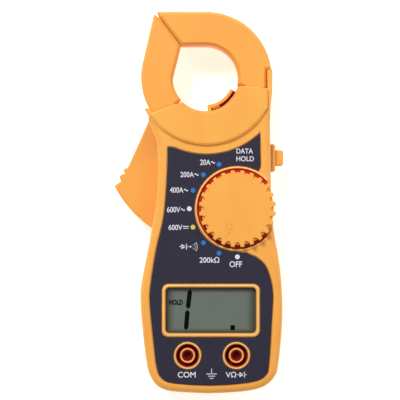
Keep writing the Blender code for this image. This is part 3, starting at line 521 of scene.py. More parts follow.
class CopyTree:
    """A node tree that sets copies of one small shape in a row or round an arc.

    Copy number i stands at Centre + i * Stride, moved out by Radius at the angle
    Start + i * Pitch, and is turned
    by that angle.
    """

    def __init__(self) -> None:
        """Builds the tree and its named inputs."""
        self.tree = bpy.data.node_groups.new("Copies along an arc or a row", "GeometryNodeTree")
        self.tree.is_modifier = True
        self.keys: dict[str, str] = {}
        for name, kind in (
            ("Count", "Int"),
            ("Centre", "Vector"),
            ("Radius", "Float"),
            ("Start", "Float"),
            ("Pitch", "Float"),
            ("Stride", "Vector"),
            ("Shape", "Object"),
            ("Finish", "Material"),
        ):
            self._socket(name, kind)
        self.tree.interface.new_socket("Copies", in_out="OUTPUT", socket_type="NodeSocketGeometry")
        self._wire()

    def _socket(self, name: str, kind: str) -> None:
        """Adds a named input and remembers its identifier."""
        made = self.tree.interface.new_socket(name, in_out="INPUT", socket_type=f"NodeSocket{kind}")
        self.keys[name] = made.identifier

    def _node(self, kind: str, **links: object) -> bpy.types.Node:
        """Adds a node and links or sets its inputs by name, with spaces written as underscores."""
        node = self.tree.nodes.new(kind)
        for name, value in links.items():
            socket = node.inputs[name.replace("_", " ")]
            if isinstance(value, bpy.types.NodeSocket):
                self.tree.links.new(value, socket)
            else:
                socket.default_value = value
        return node

    def _math(self, operation: str, first: object, second: object = 0.0) -> bpy.types.NodeSocket:
        """A number worked out from two others."""
        node = self.tree.nodes.new("ShaderNodeMath")
        node.operation = operation
        for socket, value in zip(node.inputs, (first, second), strict=False):
            if isinstance(value, bpy.types.NodeSocket):
                self.tree.links.new(value, socket)
            else:
                socket.default_value = value
        return node.outputs[0]

    def _vector(self, operation: str, first: bpy.types.NodeSocket, **links: object) -> bpy.types.NodeSocket:
        """A vector worked out from another, and from a second vector or a scale."""
        node = self.tree.nodes.new("ShaderNodeVectorMath")
        node.operation = operation
        self.tree.links.new(first, node.inputs[0])
        for name, value in links.items():
            self.tree.links.new(value, node.inputs["Scale"] if name == "scale" else node.inputs[1])
        return node.outputs[0]

    def _wire(self) -> None:
        """Joins the nodes, from the inputs to Realize Instances and Set Material."""
        given = self.tree.nodes.new("NodeGroupInput").outputs
        number = self._node("GeometryNodeInputIndex").outputs[0]
        turned = self._math("MULTIPLY", number, given["Pitch"])
        angle = self._math("RADIANS", self._math("ADD", turned, given["Start"]))
        reach = [
            self._math("MULTIPLY", self._math(way, angle), given["Radius"]) for way in ("COSINE", "SINE")
        ]
        out = self._node("ShaderNodeCombineXYZ", X=reach[0], Y=reach[1]).outputs[0]
        along = self._vector("SCALE", given["Stride"], scale=number)
        place = self._vector("ADD", self._vector("ADD", out, second=along), second=given["Centre"])
        turn = self._node("ShaderNodeCombineXYZ", Z=angle).outputs[0]
        points = self._node("GeometryNodePoints", Count=given["Count"], Position=place).outputs[0]
        shape = self._node("GeometryNodeObjectInfo", Object=given["Shape"]).outputs["Geometry"]
        copies = self._node("GeometryNodeInstanceOnPoints", Points=points, Instance=shape, Rotation=turn)
        real = self._node("GeometryNodeRealizeInstances", Geometry=copies.outputs[0]).outputs[0]
        dressed = self._node("GeometryNodeSetMaterial", Geometry=real, Material=given["Finish"]).outputs[0]
        result = self.tree.nodes.new("NodeGroupOutput")
        self.tree.links.new(dressed, result.inputs[0])

    def spread(
        self,
        name: str,
        shape: Solid,
        finish: Finish,
        count: int,
        centre: Sequence[float],
        radius: float = 0.0,
        start: float = 0.0,
        pitch: float = 0.0,
        stride: Sequence[float] = (0.0, 0.0, 0.0),
    ) -> bpy.types.Mesh:
        """Makes the copies as one plain mesh.

        Args:
            name: The mesh's name.
            shape: What is copied, made about the origin. It is used up.
            finish: Its surface.
            count: How many copies.
            centre: Where the first copy's arc is centred, in millimetres.
            radius: The arc's radius, in millimetres.
            start: Angle of the first copy, in degrees.
            pitch: Angle from one copy to the next, in degrees.
            stride: Step from one copy to the next, in millimetres.

        Returns:
            The mesh.
        """
        holder = bpy.data.objects.new(name, bpy.data.meshes.new(name + "_seed"))
        bpy.context.scene.collection.objects.link(holder)
        modifier = holder.modifiers.new("Copies", "NODES")
        modifier.node_group = self.tree
        values = {
            "Count": count,
            "Centre": tuple(Vector(centre) * MM),
            "Radius": radius * MM,
            "Start": start,
            "Pitch": pitch,
            "Stride": tuple(Vector(stride) * MM),
            "Shape": shape.obj,
            "Finish": finish.material(),
        }
        for key, value in values.items():
            modifier[self.keys[key]] = value
        holder.update_tag()
        bpy.context.view_layer.update()
        mesh = bpy.data.meshes.new_from_object(holder.evaluated_get(bpy.context.evaluated_depsgraph_get()))
        holder.modifiers.remove(modifier)
        bpy.data.objects.remove(holder)
        shape.scrap()
        mesh.name = name
        return mesh


# ---------------------------------------------------------------- finishes


def linear(colour: Colour) -> tuple[float, float, float, float]:
    """A display colour of 0 to 255 as the linear colour that a shader takes."""
    made = []
    for value in colour:
        share = value / 255
        made.append(share / 12.92 if share <= 0.04045 else ((share + 0.055) / 1.055) ** 2.4)
    return (*made, 1.0)


class Dressing:
    """Wires one material's nodes about its Principled shader."""

    def __init__(self, name: str) -> None:
        """Starts a material with Object coordinates at hand."""
        self.material = bpy.data.materials.new(name)
        self.material.use_nodes = True
        self.tree = self.material.node_tree
        self.shader = self.tree.nodes["Principled BSDF"]
        self.place = self.tree.nodes.new("ShaderNodeTexCoord").outputs["Object"]

    def node(self, kind: str, **links: object) -> bpy.types.Node:
        """Adds a node and links or sets its inputs by name, with spaces written as underscores."""
        made = self.tree.nodes.new(kind)
        for name, value in links.items():
            socket = made.inputs[name.replace("_", " ")]
            if isinstance(value, bpy.types.NodeSocket):
                self.tree.links.new(value, socket)
            else:
                socket.default_value = value
        return made

    def stretched(
        self, scale: Sequence[float], centre: Sequence[float] = (0.0, 0.0, 0.0)
    ) -> bpy.types.NodeSocket:
        """Object coordinates about a centre in millimetres, scaled along each axis."""
        moved = tuple(-c * MM * s for c, s in zip(centre, scale, strict=True))
        return self.node("ShaderNodeMapping", Vector=self.place, Scale=tuple(scale), Location=moved).outputs[
            0
        ]

    def noise(
        self, scale: float, detail: float = 3.0, at: bpy.types.NodeSocket | None = None
    ) -> bpy.types.NodeSocket:
        """Noise of so many features a metre."""
        made = self.node("ShaderNodeTexNoise", Vector=at or self.place, Scale=scale, Detail=detail)
        return made.outputs["Fac"]

    def between(self, share: bpy.types.NodeSocket, low: float, high: float) -> bpy.types.NodeSocket:
        """The middle half of a 0 to 1 pattern spread from low to high."""
        made = self.node("ShaderNodeMapRange", Value=share, To_Min=low, To_Max=high)
        made.inputs["From Min"].default_value = 0.3
        made.inputs["From Max"].default_value = 0.7
        return made.outputs[0]

    def blend(self, share: bpy.types.NodeSocket, low: object, high: object) -> bpy.types.NodeSocket:
        """A colour between two others, each a linear colour or a colour socket."""
        made = self.tree.nodes.new("ShaderNodeMix")
        made.data_type = "RGBA"
        self.tree.links.new(share, made.inputs["Factor"])
        for socket, value in ((made.inputs[6], low), (made.inputs[7], high)):
            if isinstance(value, bpy.types.NodeSocket):
                self.tree.links.new(value, socket)
            else:
                socket.default_value = value
        return made.outputs[2]

    def bump(self, height: bpy.types.NodeSocket, strength: float, depth: float) -> None:
        """Roughens the surface by a pattern whose depth is in millimetres."""
        made = self.node("ShaderNodeBump", Height=height, Strength=strength, Distance=depth * MM)
        self.feed("Normal", made.outputs[0])

    def feed(self, name: str, value: object) -> None:
        """Links or sets one of the shader's sockets."""
        socket = self.shader.inputs[name]
        if isinstance(value, bpy.types.NodeSocket):
            self.tree.links.new(value, socket)
        else:
            socket.default_value = value


@dataclass(frozen=True)
class Finish:
    """What every finish has: a name, the record's slot that it belongs to and its main colour."""

    name: str
    slot: str
    colour: Colour

    def material(self) -> bpy.types.Material:
        """The finish's material, made the first time that it is asked for."""
        if self.name not in bpy.data.materials:
            dressing = Dressing(self.name)
            self.dress(dressing)
            dressing.material.diffuse_color = linear(self.colour)
        return bpy.data.materials[self.name]

    def dress(self, dressing: Dressing) -> None:
        """Sets up the nodes; each kind of finish has its own."""
        raise NotImplementedError


@dataclass(frozen=True)
class Moulded(Finish):
    """Moulded plastic: spark-eroded grain, faint flow mottling, and gloss rubbed up in patches."""

    shade: Colour = (0, 0, 0)
    roughness: float = 0.45
    grain: float = 0.02  # depth of the grain, in millimetres
    grain_scale: float = 2600.0
    coat: float = 0.0
    sheen: float = 0.35

    def dress(self, dressing: Dressing) -> None:
        """Mottles the colour, varies the gloss and adds the grain."""
        flow = dressing.noise(55.0, 4.0, dressing.stretched((1.0, 0.45, 1.0)))
        speck = dressing.noise(self.grain_scale, 2.0)
        mottled = dressing.blend(dressing.between(flow, 0.0, 0.55), linear(self.colour), linear(self.shade))
        fine = dressing.blend(dressing.between(speck, 0.0, 0.22), mottled, linear(self.shade))
        dressing.feed("Base Color", fine)
        rubbed = dressing.noise(140.0, 3.0)
        dressing.feed("Roughness", dressing.between(rubbed, self.roughness - 0.05, self.roughness + 0.07))
        dressing.feed("Coat Weight", self.coat)
        dressing.feed("Specular IOR Level", self.sheen)
        dressing.bump(speck, 0.5, self.grain)


@dataclass(frozen=True)
class Metal(Finish):
    """Bare or plated metal: tool marks along one axis, dull patches and faint stains."""

    stain: Colour = (0, 0, 0)
    roughness: float = 0.3
    marks: tuple[float, float, float] = (1.0, 12.0, 1.0)

    def dress(self, dressing: Dressing) -> None:
        """Stains the colour and draws out the marks."""
        patches = dressing.noise(260.0, 3.0)
        dressing.feed("Base Color", dressing.blend(patches, linear(self.colour), linear(self.stain)))
        dressing.feed("Metallic", 1.0)
        drawn = dressing.noise(900.0, 2.0, dressing.stretched(self.marks))
        dressing.feed("Roughness", dressing.between(drawn, self.roughness - 0.08, self.roughness + 0.12))
        dressing.bump(drawn, 0.4, 0.01)


@dataclass(frozen=True)
class Wound(Finish):
    """A winding: round turns of lacquered wire, seen as fine ridges across the core."""

    stain: Colour = (0, 0, 0)
    turns_per_metre: float = 2200.0
    centre: tuple[float, float, float] = (0.0, 0.0, 0.0)

    def dress(self, dressing: Dressing) -> None:
        """Rings the turns about the window's axis."""
        wave = dressing.node(
            "ShaderNodeTexWave",
            Vector=dressing.stretched((1.0, 1.0, 1.0), self.centre),
            Scale=self.turns_per_metre / 20,
        )
        wave.wave_type = "RINGS"
        wave.rings_direction = "Z"
        dressing.feed(
            "Base Color", dressing.blend(wave.outputs["Fac"], linear(self.stain), linear(self.colour))
        )
        dressing.feed("Metallic", 0.85)
        dressing.feed("Roughness", dressing.between(dressing.noise(500.0), 0.28, 0.4))
        dressing.bump(wave.outputs["Fac"], 0.6, 0.06)


@dataclass(frozen=True)
class Sheet(Finish):
    """A printed plastic sheet: dark ink over a fine pebbled film."""

    fleck: Colour = (0, 0, 0)
    fleck_scale: float = 1500.0

    def dress(self, dressing: Dressing) -> None:
        """Flecks the ink and pebbles the film."""
        fleck = dressing.noise(self.fleck_scale, 2.0)
        cloud = dressing.noise(90.0, 3.0)
        inked = dressing.blend(dressing.between(fleck, 0.0, 1.0), linear(self.colour), linear(self.fleck))
        worn = tuple(0.5 * (a + b) for a, b in zip(linear(self.colour), linear(self.fleck), strict=True))
        dressing.feed("Base Color", dressing.blend(dressing.between(cloud, 0.0, 0.35), inked, worn))
        dressing.feed("Roughness", dressing.between(cloud, 0.42, 0.52))
        dressing.feed("Specular IOR Level", 0.25)
        dressing.bump(fleck, 0.5, 0.03)


@dataclass(frozen=True)
class Ink(Finish):
    """Screen-printed ink, slightly thin in places."""

    thin: Colour = (0, 0, 0)
    gloss: float = 0.2

    def dress(self, dressing: Dressing) -> None:
        """Thins the ink in small spots."""
        spots = dressing.noise(1800.0, 3.0)
        dressing.feed(
            "Base Color",
            dressing.blend(dressing.between(spots, 0.0, 0.5), linear(self.colour), linear(self.thin)),
        )
        dressing.feed("Roughness", dressing.between(spots, 0.45, 0.6))
        dressing.feed("Specular IOR Level", self.gloss)


@dataclass(frozen=True)
class Display(Finish):
    """A reflective display: grey-green glass with painted shade that darkens it towards its edges, where the
    window's rim shades it.
    """

    # colour of the painted shade at the glass's edges
    edge: Colour = (0, 0, 0)
    centre: tuple[float, float, float] = (0.0, 0.0, 0.0)
    half: tuple[float, float] = (24.0, 12.0)

    def dress(self, dressing: Dressing) -> None:
        """Paints shade on the edges, by the larger of the two distances from the middle."""
        scale = (1 / (self.half[0] * MM), 1 / (self.half[1] * MM), 0.0)
        place = dressing.stretched(scale, self.centre)
        parts = dressing.node("ShaderNodeSeparateXYZ", Vector=place)
        far = []
        for axis in ("X", "Y"):
            size = dressing.tree.nodes.new("ShaderNodeMath")
            size.operation = "ABSOLUTE"
            dressing.tree.links.new(parts.outputs[axis], size.inputs[0])
            far.append(size.outputs[0])
        larger = dressing.tree.nodes.new("ShaderNodeMath")
        larger.operation = "MAXIMUM"
        for value, socket in zip(far, larger.inputs, strict=False):
            dressing.tree.links.new(value, socket)
        edge_shade = dressing.node("ShaderNodeMapRange", Value=larger.outputs[0])
        edge_shade.inputs["From Min"].default_value = 0.78
        edge_shade.inputs["From Max"].default_value = 1.0
        edge_shade.interpolation_type = "SMOOTHSTEP"
        haze = dressing.noise(120.0, 2.0)
        glass = dressing.blend(haze, linear(self.colour), linear(tuple(c + 6 for c in self.colour)))
        dressing.feed("Base Color", dressing.blend(edge_shade.outputs[0], glass, linear(self.edge)))
        dressing.feed("Roughness", dressing.between(haze, 0.3, 0.38))


@dataclass(frozen=True)
class Pane(Finish):
    """A clear moulded window, thin enough to need no bending of light."""

    opacity: float = 0.1
    gloss: float = 0.06

    def dress(self, dressing: Dressing) -> None:
        """Lets most light straight through and keeps a faintly wavy gloss."""
        wave = dressing.noise(70.0, 1.0)
        dressing.feed(
            "Base Color", dressing.blend(wave, linear(self.colour), linear(tuple(c - 8 for c in self.colour)))
        )
        dressing.feed("Roughness", 0.08)
        dressing.feed("Specular IOR Level", self.gloss)
        dressing.feed("Alpha", self.opacity)
        dressing.bump(wave, 0.3, 0.02)


@dataclass(frozen=True)
class Banded(Finish):
    """A printed jacket round a cell, with a coloured band at one end."""

    band: Colour = (0, 0, 0)
    edge_y: float = 0.0

    def dress(self, dressing: Dressing) -> None:
        """Splits the two colours at a height along the cell."""
        along = dressing.node("ShaderNodeSeparateXYZ", Vector=dressing.place).outputs["Y"]
        past = dressing.node("ShaderNodeMapRange", Value=along)
        past.inputs["From Min"].default_value = (self.edge_y - 0.3) * MM
        past.inputs["From Max"].default_value = (self.edge_y + 0.3) * MM
        dressing.feed("Base Color", dressing.blend(past.outputs[0], linear(self.colour), linear(self.band)))
        dressing.feed("Roughness", dressing.between(dressing.noise(300.0), 0.25, 0.36))


ORANGE = Moulded("orange case plastic", "orange_shell", (251, 180, 81), (243, 160, 68), 0.42)
JAW_ORANGE = Moulded("orange jaw plastic", "orange_shell", (249, 173, 77), (243, 160, 70), 0.42)
# Painted highlight: this pale orange stands in for the light that the rounded rims catch.
PAINTED_HIGHLIGHT_ORANGE = Moulded("pale bead", "orange_shell", (255, 216, 140), (248, 200, 122), 0.35)
KNOB_ORANGE = Moulded("orange knob plastic", "knob_orange", (253, 180, 80), (243, 160, 70), 0.38)
# Painted shade: this dark red stands in for the shade deep in the jack wells and in the gap behind the guard
# rib.
WELL_SHADE_RED = Moulded("dark red liner", "dark_plastic", (178, 34, 16), (140, 20, 10), 0.5, sheen=0.15)
# Painted shade: this red stands in for the shade on the floor and wall of the knob's recess.
RECESS_SHADE_RED = Moulded("red recess liner", "dark_plastic", (205, 56, 30), (180, 42, 22), 0.55, sheen=0.1)
# Painted shade: this deep red stands in for the shade down the jacks' bores.
BORE_SHADE_RED = Moulded("deep red sleeve", "dark_plastic", (132, 22, 18), (112, 16, 13), 0.5, sheen=0.12)
LABEL = Sheet("label film", "dark_label", (25, 25, 46), (57, 52, 68))
WHITE_INK = Ink("white ink", "dark_label", (232, 232, 242), (205, 205, 218))
BLUE_INK = Ink("blue ink", "dark_label", (44, 122, 205), (36, 104, 180))
YELLOW_INK = Ink("yellow ink", "dark_label", (236, 200, 96), (214, 178, 84))
LCD_INK = Ink("display segments", "display_glass", (2, 3, 4), (6, 8, 9), gloss=0.0)
CLEAR = Pane("clear window", "clear_window", (90, 100, 92), opacity=0.02)
STEEL = Metal("zinc-plated steel", "zinc_steel", (176, 178, 184), (140, 140, 142), 0.3)
CORE = Metal("core laminations", "core_steel", (120, 122, 128), (92, 90, 90), 0.38, (1.0, 1.0, 30.0))
BRASS = Metal("turned brass", "brass", (205, 170, 96), (160, 124, 60), 0.28, (1.0, 1.0, 14.0))
BOARD = Moulded("board lacquer", "green_board", (28, 96, 50), (18, 70, 38), 0.32, 0.01, coat=0.3)
DARK = Moulded("black plastic", "dark_plastic", (34, 34, 38), (24, 24, 27), 0.5)
RUBBER = Moulded("elastomer", "elastomer", (52, 52, 56), (40, 40, 42), 0.72)
OCHRE = Moulded("dipped film", "ochre_film", (176, 108, 40), (148, 84, 30), 0.3, 0.01, coat=0.4)
BLUE = Moulded("overload blue", "overload_blue", (40, 84, 168), (30, 66, 140), 0.36)


# ---------------------------------------------------------------- the meter's own measures


LABEL_BOX = Span.of("front_label")
KNOB_BOX = Span.of("selector_knob")
WINDOW_BOX = Span.of("lcd_window")
GLASS_BOX = Span.of("lcd_glass")
CASE_TOP = LABEL_BOX.high.z
WALL = 2.0
CAVITY_TOP = CASE_TOP - 2.5
PARTING = Span.of("hold_button").middle.z
KNOB = KNOB_BOX.middle.xy
WINDOW = WINDOW_BOX.middle.xy
PIVOT = Span.of("pivot_pin").middle.xy
JACKS = (Span.of("com_jack").middle.xy, Span.of("volt_jack").middle.xy)
RING, RING_RADIUS = Vector((-2.9, 65.3)), 34.2
HOLE, HOLE_RADIUS, HOLE_FLARE = Vector((-3.4, 65.0)), 17.2, 1.3
HOLE_WALL = 2.4
INNER_HOLE = HOLE_RADIUS + HOLE_WALL + 0.7
POSTS = tuple(Span.of(f"case_screw_{i}").middle.xy for i in range(1, 5))
DOOR_SCREW = Span.of("battery_door_screw").middle.xy
LEFT_CORNER, LEFT_LINE_END = (-31.3, 46.3), (-16.6, 51.6)
RIGHT_LINE_END, RIGHT_CORNER = (14.2, 60.3), (30.9, 58.9)
JAW_BACK, JAW_FRONT = Span.of("fixed_jaw_rear").low.z, Span.of("fixed_jaw_front").high.z
TRIGGER_TOP = 19.5
STRIP_INNER_X = 28.9


def case_outline() -> list[Point]:
    """The outline of the case seen from the front, without the strip beside the jaws."""
    right = smooth(
        [
            (-1.9, -99.9), (14.7, -99.0), (24.6, -97.2), (30.0, -94.2), (33.3, -90.0), (34.6, -85.0),
            (36.2, -70.0), (36.8, -57.0), (36.3, -43.0), (34.9, -30.0), (33.2, -20.5), (31.9, -11.0),
            (30.8, 10.0), (30.4, 35.0), (30.4, 48.0),
        ]
    )  # fmt: skip
    left = smooth(
        [
            (-28.7, 30.7), (-28.4, 20.0), (-29.1, 2.9), (-31.4, -14.0), (-34.0, -27.5), (-36.6, -41.0),
            (-37.4, -50.0), (-36.6, -63.0), (-35.0, -78.0), (-33.6, -87.0), (-31.7, -91.8), (-29.1, -95.4),
            (-25.1, -97.7), (-18.5, -99.0), (-1.9, -99.9),
        ]
    )  # fmt: skip
    return [*right, RIGHT_CORNER, RIGHT_LINE_END, LEFT_LINE_END, LEFT_CORNER, (-33.0, 42.6), *left[:-1]]


def label_outline() -> list[Point]:
    """The sheet round the knob: two long sides, a hollow top below the boss and a bay for the knob."""
    left = smooth(
        [
            (-23.1, 28.8), (-23.4, 15.0), (-25.1, -7.1), (-29.1, -25.0), (-32.0, -43.6), (-32.3, -54.0),
            (-30.1, -75.7), (-29.1, -84.2), (-27.7, -89.6), (-25.1, -92.6), (-21.1, -94.1), (-11.8, -95.1),
        ]
    )  # fmt: skip
    right = smooth(
        [
            (-1.9, -95.5), (8.1, -95.1), (18.0, -94.1), (24.6, -92.6), (28.0, -90.0), (29.6, -85.0),
            (31.2, -60.0), (31.6, -46.0), (28.7, -34.6), (24.0, -29.3), (18.0, -26.5),
        ]
    )  # fmt: skip
    bay = arc(KNOB, 22.4, 267.0, 61.0)
    top = arc(RING, RING_RADIUS + 6.3, 313.5, 246.0)
    points = [*left, *right, *bay, (25.3, 18.2), (25.0, 34.7), *top]
    last = len(points) - 1
    corner = len(left) + len(right)
    return eased(
        points, {0: 1.0, last: 0.9, corner + len(bay): 1.2, corner + len(bay) + 1: 1.4, corner - 1: 1.2}
    )


def boss_outline() -> list[Point]:
    """The raised disc below the jaws."""
    top = [LEFT_CORNER, LEFT_LINE_END, RIGHT_LINE_END, (28.6, 59.1), (29.0, 54.0)]
    return [*top, *arc(RING, 35.6, -27.0, -146.0)]


def split_point(radius: float, way: int) -> Point:
    """A point of the split face between the jaws; way is 1 on the moving jaw and -1 on the fixed one."""
    split = 127.2
    across = Vector(polar((0, 0), 1.0, split + 90.0))
    return tuple(Vector(polar(HOLE, radius, split)) + across * way * GAP / 2)


@dataclass
class CaseHalf:
    """What both halves of the case share: the rounded shell with its window, its slots and its collar."""

    side: Side
    depth: float = CASE_TOP
    rounding: float = 3.4
    shoulder_share: float = 0.3  # part of the rounding that is left beside the jaws
    collar_side: float = 15.2
    collar_x: float = 33.2
    collar_groove: float = 0.7
    button_side: float = 8.4
    button_y: float = field(default_factory=lambda: Span.of("hold_button").middle.y)
    thread: float = 1.6
    lip_reach: float = 28.6  # where the knob's lip ends beside the rounded edge

    def share(self, point: Point) -> float:
        """Full rounding on the grip, easing to a thin edge at the shoulders."""
        ease = min(1.0, max(0.0, (47.0 - point[1]) / 4.0))
        return self.shoulder_share + (1 - self.shoulder_share) * ease

    def lip_end(self) -> Solid:
        """What the knob's lip and liner lose beside the rounded edge of the case."""
        return Solid.block("lip_end", (self.lip_reach, -TALL, 0.0), (TALL, TALL, TALL))

    def window(self) -> Solid:
        """The jaw window, flared towards both faces."""
        wide = HOLE_RADIUS + HOLE_FLARE
        profile = [
            (0, TALL),
            (wide + 0.9, TALL),
            (wide + 0.9, self.depth + 2.0),
            (wide + 0.25, self.depth + 1.55),
            (wide - 0.2, self.depth + 0.6),
            (HOLE_RADIUS + 0.35, CAVITY_TOP),
            (HOLE_RADIUS, PARTING),
            (HOLE_RADIUS + 0.35, WALL),
            (wide, 0.3),
            (wide + 0.4, -1.0),
            (wide + 0.4, -TALL),
            (0, -TALL),
        ]
        return Solid.turned("window", HOLE, profile, 120)

    def collar(self) -> Solid:
        """The square collar round the hold button: a wide foot, a groove and a chamfered mouth."""
        wide = rectangle((0.0, 0.0), self.collar_side, self.collar_side, 1.4)
        foot = Solid.loft("collar", wide, 28.0, self.collar_x - 2.0, over=quarter(0.5, 3))
        neck = Solid.loft("neck", grown(wide, -self.collar_groove), 28.0, self.collar_x - 1.4)
        mouth = Solid.loft(
            "mouth", grown(wide, -0.25), self.collar_x - 1.5, self.collar_x, over=bevelled(0.8, 0.3)
        )
        return foot.join(neck, mouth).turn(self.outward())

    def outward(self) -> Matrix:
        """Turns a solid raised along Z so that it points to +X through the button's middle."""
        turn = Matrix.Rotation(math.radians(90.0), 4, "Y")
        return Matrix.Translation((0.0, self.button_y, PARTING)) @ turn

    def bore(self) -> Solid:
        """The square way for the button."""
        side = self.button_side + 2 * GAP
        return Solid.loft("bore", rectangle((0.0, 0.0), side, side, 1.1), 20.0, TALL).turn(self.outward())

    def blank(self) -> Solid:
        """The shell before the side's own work."""
        soft = quarter(self.rounding, 7)
        name = f"case_{self.side.value}"
        body = Solid.loft(name, case_outline(), 0.0, self.depth, over=soft, under=soft, share=self.share)
        body.cut(Solid.loft("cavity", grown(case_outline(), -WALL), WALL, CAVITY_TOP))
        wall = sector(HOLE, HOLE_RADIUS - 1.0, HOLE_RADIUS + HOLE_WALL, 227.0, 341.0)
        body.join(Solid.loft("window_wall", wall, WALL - 1.0, CAVITY_TOP + 1.0))
        clear = 0.5
        slot = [
            (RING_RADIUS + 0.7, JAW_FRONT + clear),
            (RING_RADIUS + 0.7, JAW_BACK - clear),
            (HOLE_RADIUS + HOLE_WALL + GAP, JAW_BACK - clear),
            (HOLE_RADIUS + HOLE_WALL + GAP, JAW_FRONT + clear),
        ]
        body.cut(
            self.window(),
            Solid.turned("jaw_slot", HOLE, slot, 120),
            Solid.block("fin_slot", (-TALL, -16.0, JAW_BACK - 1.0), (-20.0, 24.5, TRIGGER_TOP + 0.8)),
            Solid.block("side_slot", (-TALL, 24.0, JAW_BACK - 1.0), (-24.0, 52.0, JAW_FRONT + 0.8)),
        )
        strip = [
            (STRIP_INNER_X, 69.2),
            (31.6, 69.2),
            (31.4, 58.0),
            (30.4, 46.0),
            (28.5, 46.0),
            (STRIP_INNER_X, 58.0),
        ]
        body.join(
            Solid.loft("strip", strip, 4.0, CAVITY_TOP - 1.0, over=quarter(0.5, 3), under=quarter(0.5, 3))
        )
        return body.join(self.collar())

    def keep(self, body: Solid) -> Solid:
        """Cuts the shell at the parting plane, with half the gap taken from each side."""
        low, high = (-TALL, PARTING + GAP / 2) if self.side is Side.FRONT else (PARTING - GAP / 2, TALL)
        reach = 2 * TALL
        return body.cut(Solid.block("other_half", (-reach, -reach, low), (reach, reach, high)))


